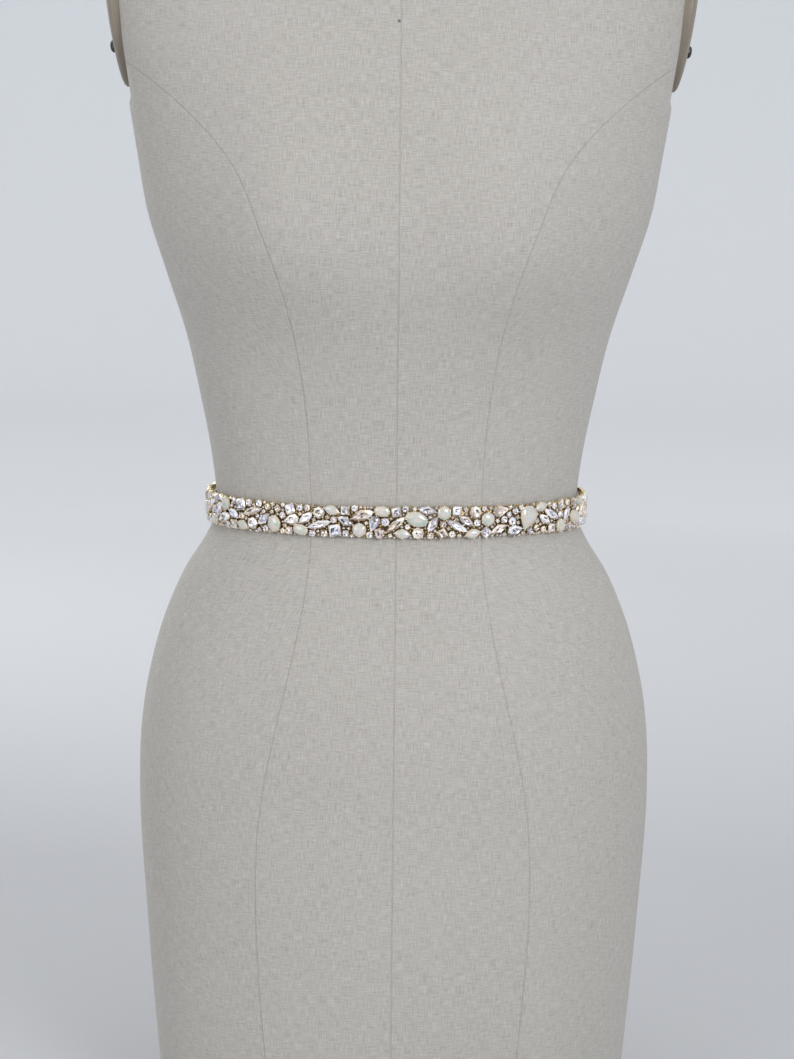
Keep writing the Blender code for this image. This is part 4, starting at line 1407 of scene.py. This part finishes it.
class SASH_OT_settings(bpy.types.Operator):
    """Build the trim's backing, the stones' cups and prongs, and the grains between them"""

    bl_idname = "sash.settings"
    bl_label = "Metal settings"

    def execute(self, context):
        looks = context.scene.sash_trim
        band = Band()
        gold = gold_material(looks)
        stones, grains = trim_layout()
        wall, radius = looks.wall / MM, looks.prong / MM
        stock = Stock()
        half = REPEAT * 1.5
        steps = round(2 * half / 1.5)
        # Painted light on the backing: its face between the stones is painted darkest, as shade from the
        # stones, and its edges bright, as lit and rubbed metal.
        rows = ((-1.0, 0.0, 0.8), (-1.0, 0.7, 0.8), (-0.94, 1.0, 0.3), (0.0, 1.0, 0.08), (0.94, 1.0, 0.3),
                (1.0, 0.7, 0.8), (1.0, 0.0, 0.8))
        sections = []
        for step in range(steps + 1):
            along = -half + 2 * half * step / steps
            local = np.array([(0.0, side * BACKING_WIDTH / 2, out * BACKING_THICK) for side, out, _ in rows])
            sections.append(band.placed(along, 0.0, 0, local))
        points, faces = lofted(sections)
        stock.add(points, faces, raised=np.tile([raised for _, _, raised in rows], steps + 1))
        backing = stock.piece("trim_backing", gold, smooth_angle=40)
        settle_piece(backing, "setting", "jewel_trim")

        cups, prongs = Stock(), Stock()
        for _, shape, length, width, rise, turns, along, up, turn in stones:
            points, faces, raised = cup(shape, length, width, rise, wall)
            points = band.placed(along, up, turn, points)
            cups.add(points, faces, raised=raised + self.rubbed(points))
            size = radius * min(1.0, 0.4 + length / 12)
            for place in turns:
                points, faces, raised = prong(shape, length, width, rise, place, size)
                points = band.placed(along, up, turn, points)
                prongs.add(points, faces, raised=raised + self.rubbed(points))
        settle_piece(cups.piece("stone_cups", gold, smooth_angle=45), "setting")
        settle_piece(prongs.piece("stone_prongs", gold, smooth_angle=60), "setting")

        beads = Stock()
        for size, along, up in grains:
            rings = []
            for level in range(6):
                lift = math.radians(-20 + 106 * level / 5)
                edge = outline("round", size * math.cos(lift), size * math.cos(lift), 12)
                out = BACKING_THICK + size * 0.42 + size / 2 * math.sin(lift)
                rings.append(np.column_stack((edge, np.full(12, out))))
            points, faces = lofted(rings)
            # Painted shade at a grain's foot, lighter toward its top, where it is lit and rubbed.
            raised = np.repeat(np.linspace(0.10, 0.70, 6), 12)
            beads.add(band.placed(along, up, 0, points), faces, raised=raised)
        settle_piece(beads.piece("metal_grains", gold, smooth_angle=60), "setting")
        return {"FINISHED"}

    def rubbed(self, points):
        """How much brighter the metal is along the trim's upper and lower edges: partly rubbed wear, partly a
        painted highlight over the cups' shaded insides there.
        """
        return 0.6 * np.clip((np.abs(points[:, 2] - WAIST_HEIGHT) / MM - 8) / 2, 0, 1)


class SASH_OT_stones(bpy.types.Operator):
    """Build the cut crystals and the milky opals"""

    bl_idname = "sash.stones"
    bl_label = "Stones"

    def execute(self, context):
        looks = context.scene.sash_trim
        band = Band()
        stones, _ = trim_layout()
        wall = looks.wall / MM
        dice = random.Random(SEED)
        crystals, opals = Stock(), Stock()
        for kind, shape, length, width, rise, _, along, up, turn in stones:
            inside = (shape, length - 2 * wall, width - 2 * wall, rise)
            if kind.startswith("opal"):
                points, faces, edge = dome(*inside)
                opals.add(band.placed(along, up, turn, points), faces, edge=edge, tint=dice.random())
            else:
                sides = looks.sides if length > 5 else 8
                points, faces, tones, tints = cut_stone(*inside, sides, dice)
                crystals.add(band.placed(along, up, turn, points), faces, facet=tones, tint=tints)
        settle_piece(crystals.piece("cut_crystals", crystal_material()), "crystal")
        settle_piece(opals.piece("milky_opals", opal_material(looks), smooth_angle=60), "opal")
        return {"FINISHED"}


class SASH_OT_knot(bpy.types.Operator):
    """Build the knot at the back: gathered folds with the ribbon wrapped once round them"""

    bl_idname = "sash.knot"
    bl_label = "Knot"

    def execute(self, context):
        low, high = KNOT_BOX
        centre = (low + high) / 2
        half = (high - low) / 2
        turns = even_turns(48)
        rings, places = [], []
        count = 40
        for step in range(count + 1):
            share = -1 + 2 * step / count
            swell = (1 - abs(share) ** 2.6) ** 0.5
            fold = 1 + 0.10 * np.cos(turns * 7 + share * 2.2)
            x = np.full(len(turns), centre.x + share * half.x)
            y = centre.y + half.y * 0.78 * max(swell, 0.04) * fold * np.cos(turns)
            z = centre.z + half.z * 0.86 * max(swell, 0.04) * fold * np.sin(turns)
            rings.append(np.column_stack((x, np.maximum(y, low.y), z)))
            places.append(np.column_stack((turns * half.z, x)))
        stock = Stock()
        stock.add(*lofted(rings))
        wrap_places = []
        sections = []
        for step in range(72):
            turn = 2 * math.pi * step / 72
            across = np.linspace(-1.0, 1.0, 9)
            pleat = 0.5 * MM * np.cos(across * math.pi * 2.5)
            bow = 1 - 0.10 * across ** 2
            x = centre.x + across * half.x * 0.62 + half.x * 0.16 * math.sin(turn)
            inside = np.column_stack((x, centre.y + (half.y * 0.86 * bow) * math.cos(turn),
                                      centre.z + (half.z * 0.90 * bow) * math.sin(turn)))
            push = np.column_stack((0 * x, math.cos(turn) + 0 * x, math.sin(turn) + 0 * x))
            outside = inside + push * (1.0 * MM + pleat[:, None])
            section = np.vstack((inside, outside[::-1]))
            section[:, 1] = np.maximum(section[:, 1], low.y)
            sections.append(section)
            wrap_places += [(turn * half.z, place) for place in np.concatenate((x, x[::-1]))]
        stock.add(*lofted(sections, cyclic=True))
        knot = stock.piece("ribbon_knot", satin_material(context.scene.sash_ribbon), smooth_angle=60)
        add_uv(knot, np.vstack((np.concatenate(places), wrap_places)))
        settle_piece(knot, "ribbon", "knot")
        return {"FINISHED"}


class SASH_OT_tails(bpy.types.Operator):
    """Build the ribbon's two loose ends, which lie down the back and hang past its fullest place"""

    bl_idname = "sash.tails"
    bl_label = "Tails"

    def execute(self, context):
        looks = context.scene.sash_ribbon
        satin = satin_material(looks)
        for node_name, side in (("tail_left", -1), ("tail_right", 1)):
            sections, places = self.sections(side, looks.thickness)
            tail = single(node_name + "_ribbon", satin, *lofted(sections), 55)
            add_uv(tail, np.concatenate(places))
            settle_piece(tail, "ribbon", node_name)
        return {"FINISHED"}

    def sections(self, side, thick):
        """Sections across one tail from the knot down, and their flat places."""
        top = KNOT_BOX[0].z - SEAM_GAP
        shares = np.linspace(-1.0, 1.0, 11)
        fullest = np.zeros(len(shares))
        sections, places = [], []
        for step in range(TAIL_STEPS + 1):
            down = -TAIL_TUCK + (TAIL_LENGTH + TAIL_TUCK) * step / TAIL_STEPS
            gather = min(max(down, 0.0) / TAIL_GATHER_LENGTH, 1.0)
            half = TAIL_GATHER + (RIBBON_WIDTH / 2 - TAIL_GATHER) * gather * gather * (3 - 2 * gather)
            half *= 1 + TAIL_TUCK_NARROWING * min(down, 0.0) / TAIL_TUCK
            x = side * (half + SEAM_GAP + TAIL_SPREAD * max(down, 0.0) / TAIL_LENGTH) + shares * half
            height = top - down - TAIL_SLANT * shares * side * down / TAIL_LENGTH
            levels = np.array([form_level(value) for value in height])
            width, depth, middle, squareness = levels.T
            surface = middle + depth * (1 - np.abs(x / width) ** squareness) ** (1 / squareness)
            fullest = np.maximum(fullest, surface)
            wave = TAIL_WAVE * math.sin(math.pi * down / TAIL_LENGTH * 2) ** 2 * (1 - shares * shares)
            folds = TAIL_FOLD * np.cos(shares * math.pi * 3) * math.exp(-max(down, 0.0) / 0.03)
            y = fullest + TAIL_OFF_FORM + wave + folds
            y = y + TAIL_START_OUT * math.exp(-max(down, 0.0) / TAIL_GATHER_LENGTH * 2)
            edge = 1.0 + 0.25 * (np.abs(shares) > 0.9) - 0.5 * (np.abs(shares) > 0.99)
            inside = np.column_stack((x, y + thick * (1 - edge) / 2, height))
            outside = np.column_stack((x, y + thick * (1 + edge) / 2, height))
            sections.append(np.vstack((inside, outside[::-1])))
            flat = np.column_stack((np.full(len(x), down), shares * RIBBON_WIDTH / 2))
            places.append(np.vstack((flat, flat[::-1])))
        return sections, places


class SASH_PT_panel(bpy.types.Panel):
    """Sizes and colours of the sash, and a button for each of its pieces"""

    bl_label = "Bridal sash"
    bl_idname = "SASH_PT_panel"
    bl_space_type = "VIEW_3D"
    bl_region_type = "UI"
    bl_category = "Sash"

    def draw(self, context):
        for group in (context.scene.sash_stage, context.scene.sash_form, context.scene.sash_ribbon,
                      context.scene.sash_trim):
            column = self.layout.column(align=True)
            for name in group.bl_rna.properties.keys():
                if name not in ("rna_type", "name"):
                    column.prop(group, name)
        for operator in OPERATORS:
            self.layout.operator(operator.bl_idname)


OPERATORS = (SASH_OT_stage, SASH_OT_form, SASH_OT_plates, SASH_OT_ribbon, SASH_OT_settings, SASH_OT_stones,
             SASH_OT_knot, SASH_OT_tails)
GROUPS = {"sash_form": FormLooks, "sash_ribbon": RibbonLooks, "sash_trim": TrimLooks,
          "sash_stage": StageLooks}


def register():
    """Register the settings, the operators and the panel."""
    for name, group in GROUPS.items():
        bpy.utils.register_class(group)
        setattr(bpy.types.Scene, name, PointerProperty(type=group))
    for operator in OPERATORS:
        bpy.utils.register_class(operator)
    bpy.utils.register_class(SASH_PT_panel)


def unregister():
    """Take away what register adds."""
    bpy.utils.unregister_class(SASH_PT_panel)
    for operator in reversed(OPERATORS):
        bpy.utils.unregister_class(operator)
    for name, group in reversed(GROUPS.items()):
        delattr(bpy.types.Scene, name)
        bpy.utils.unregister_class(group)


def main():
    """Build every piece in order."""
    register()
    bpy.ops.sash.stage()
    bpy.ops.sash.form()
    bpy.ops.sash.plates()
    bpy.ops.sash.ribbon()
    bpy.ops.sash.settings()
    bpy.ops.sash.stones()
    bpy.ops.sash.knot()
    bpy.ops.sash.tails()


if __name__ == "__main__":
    main()
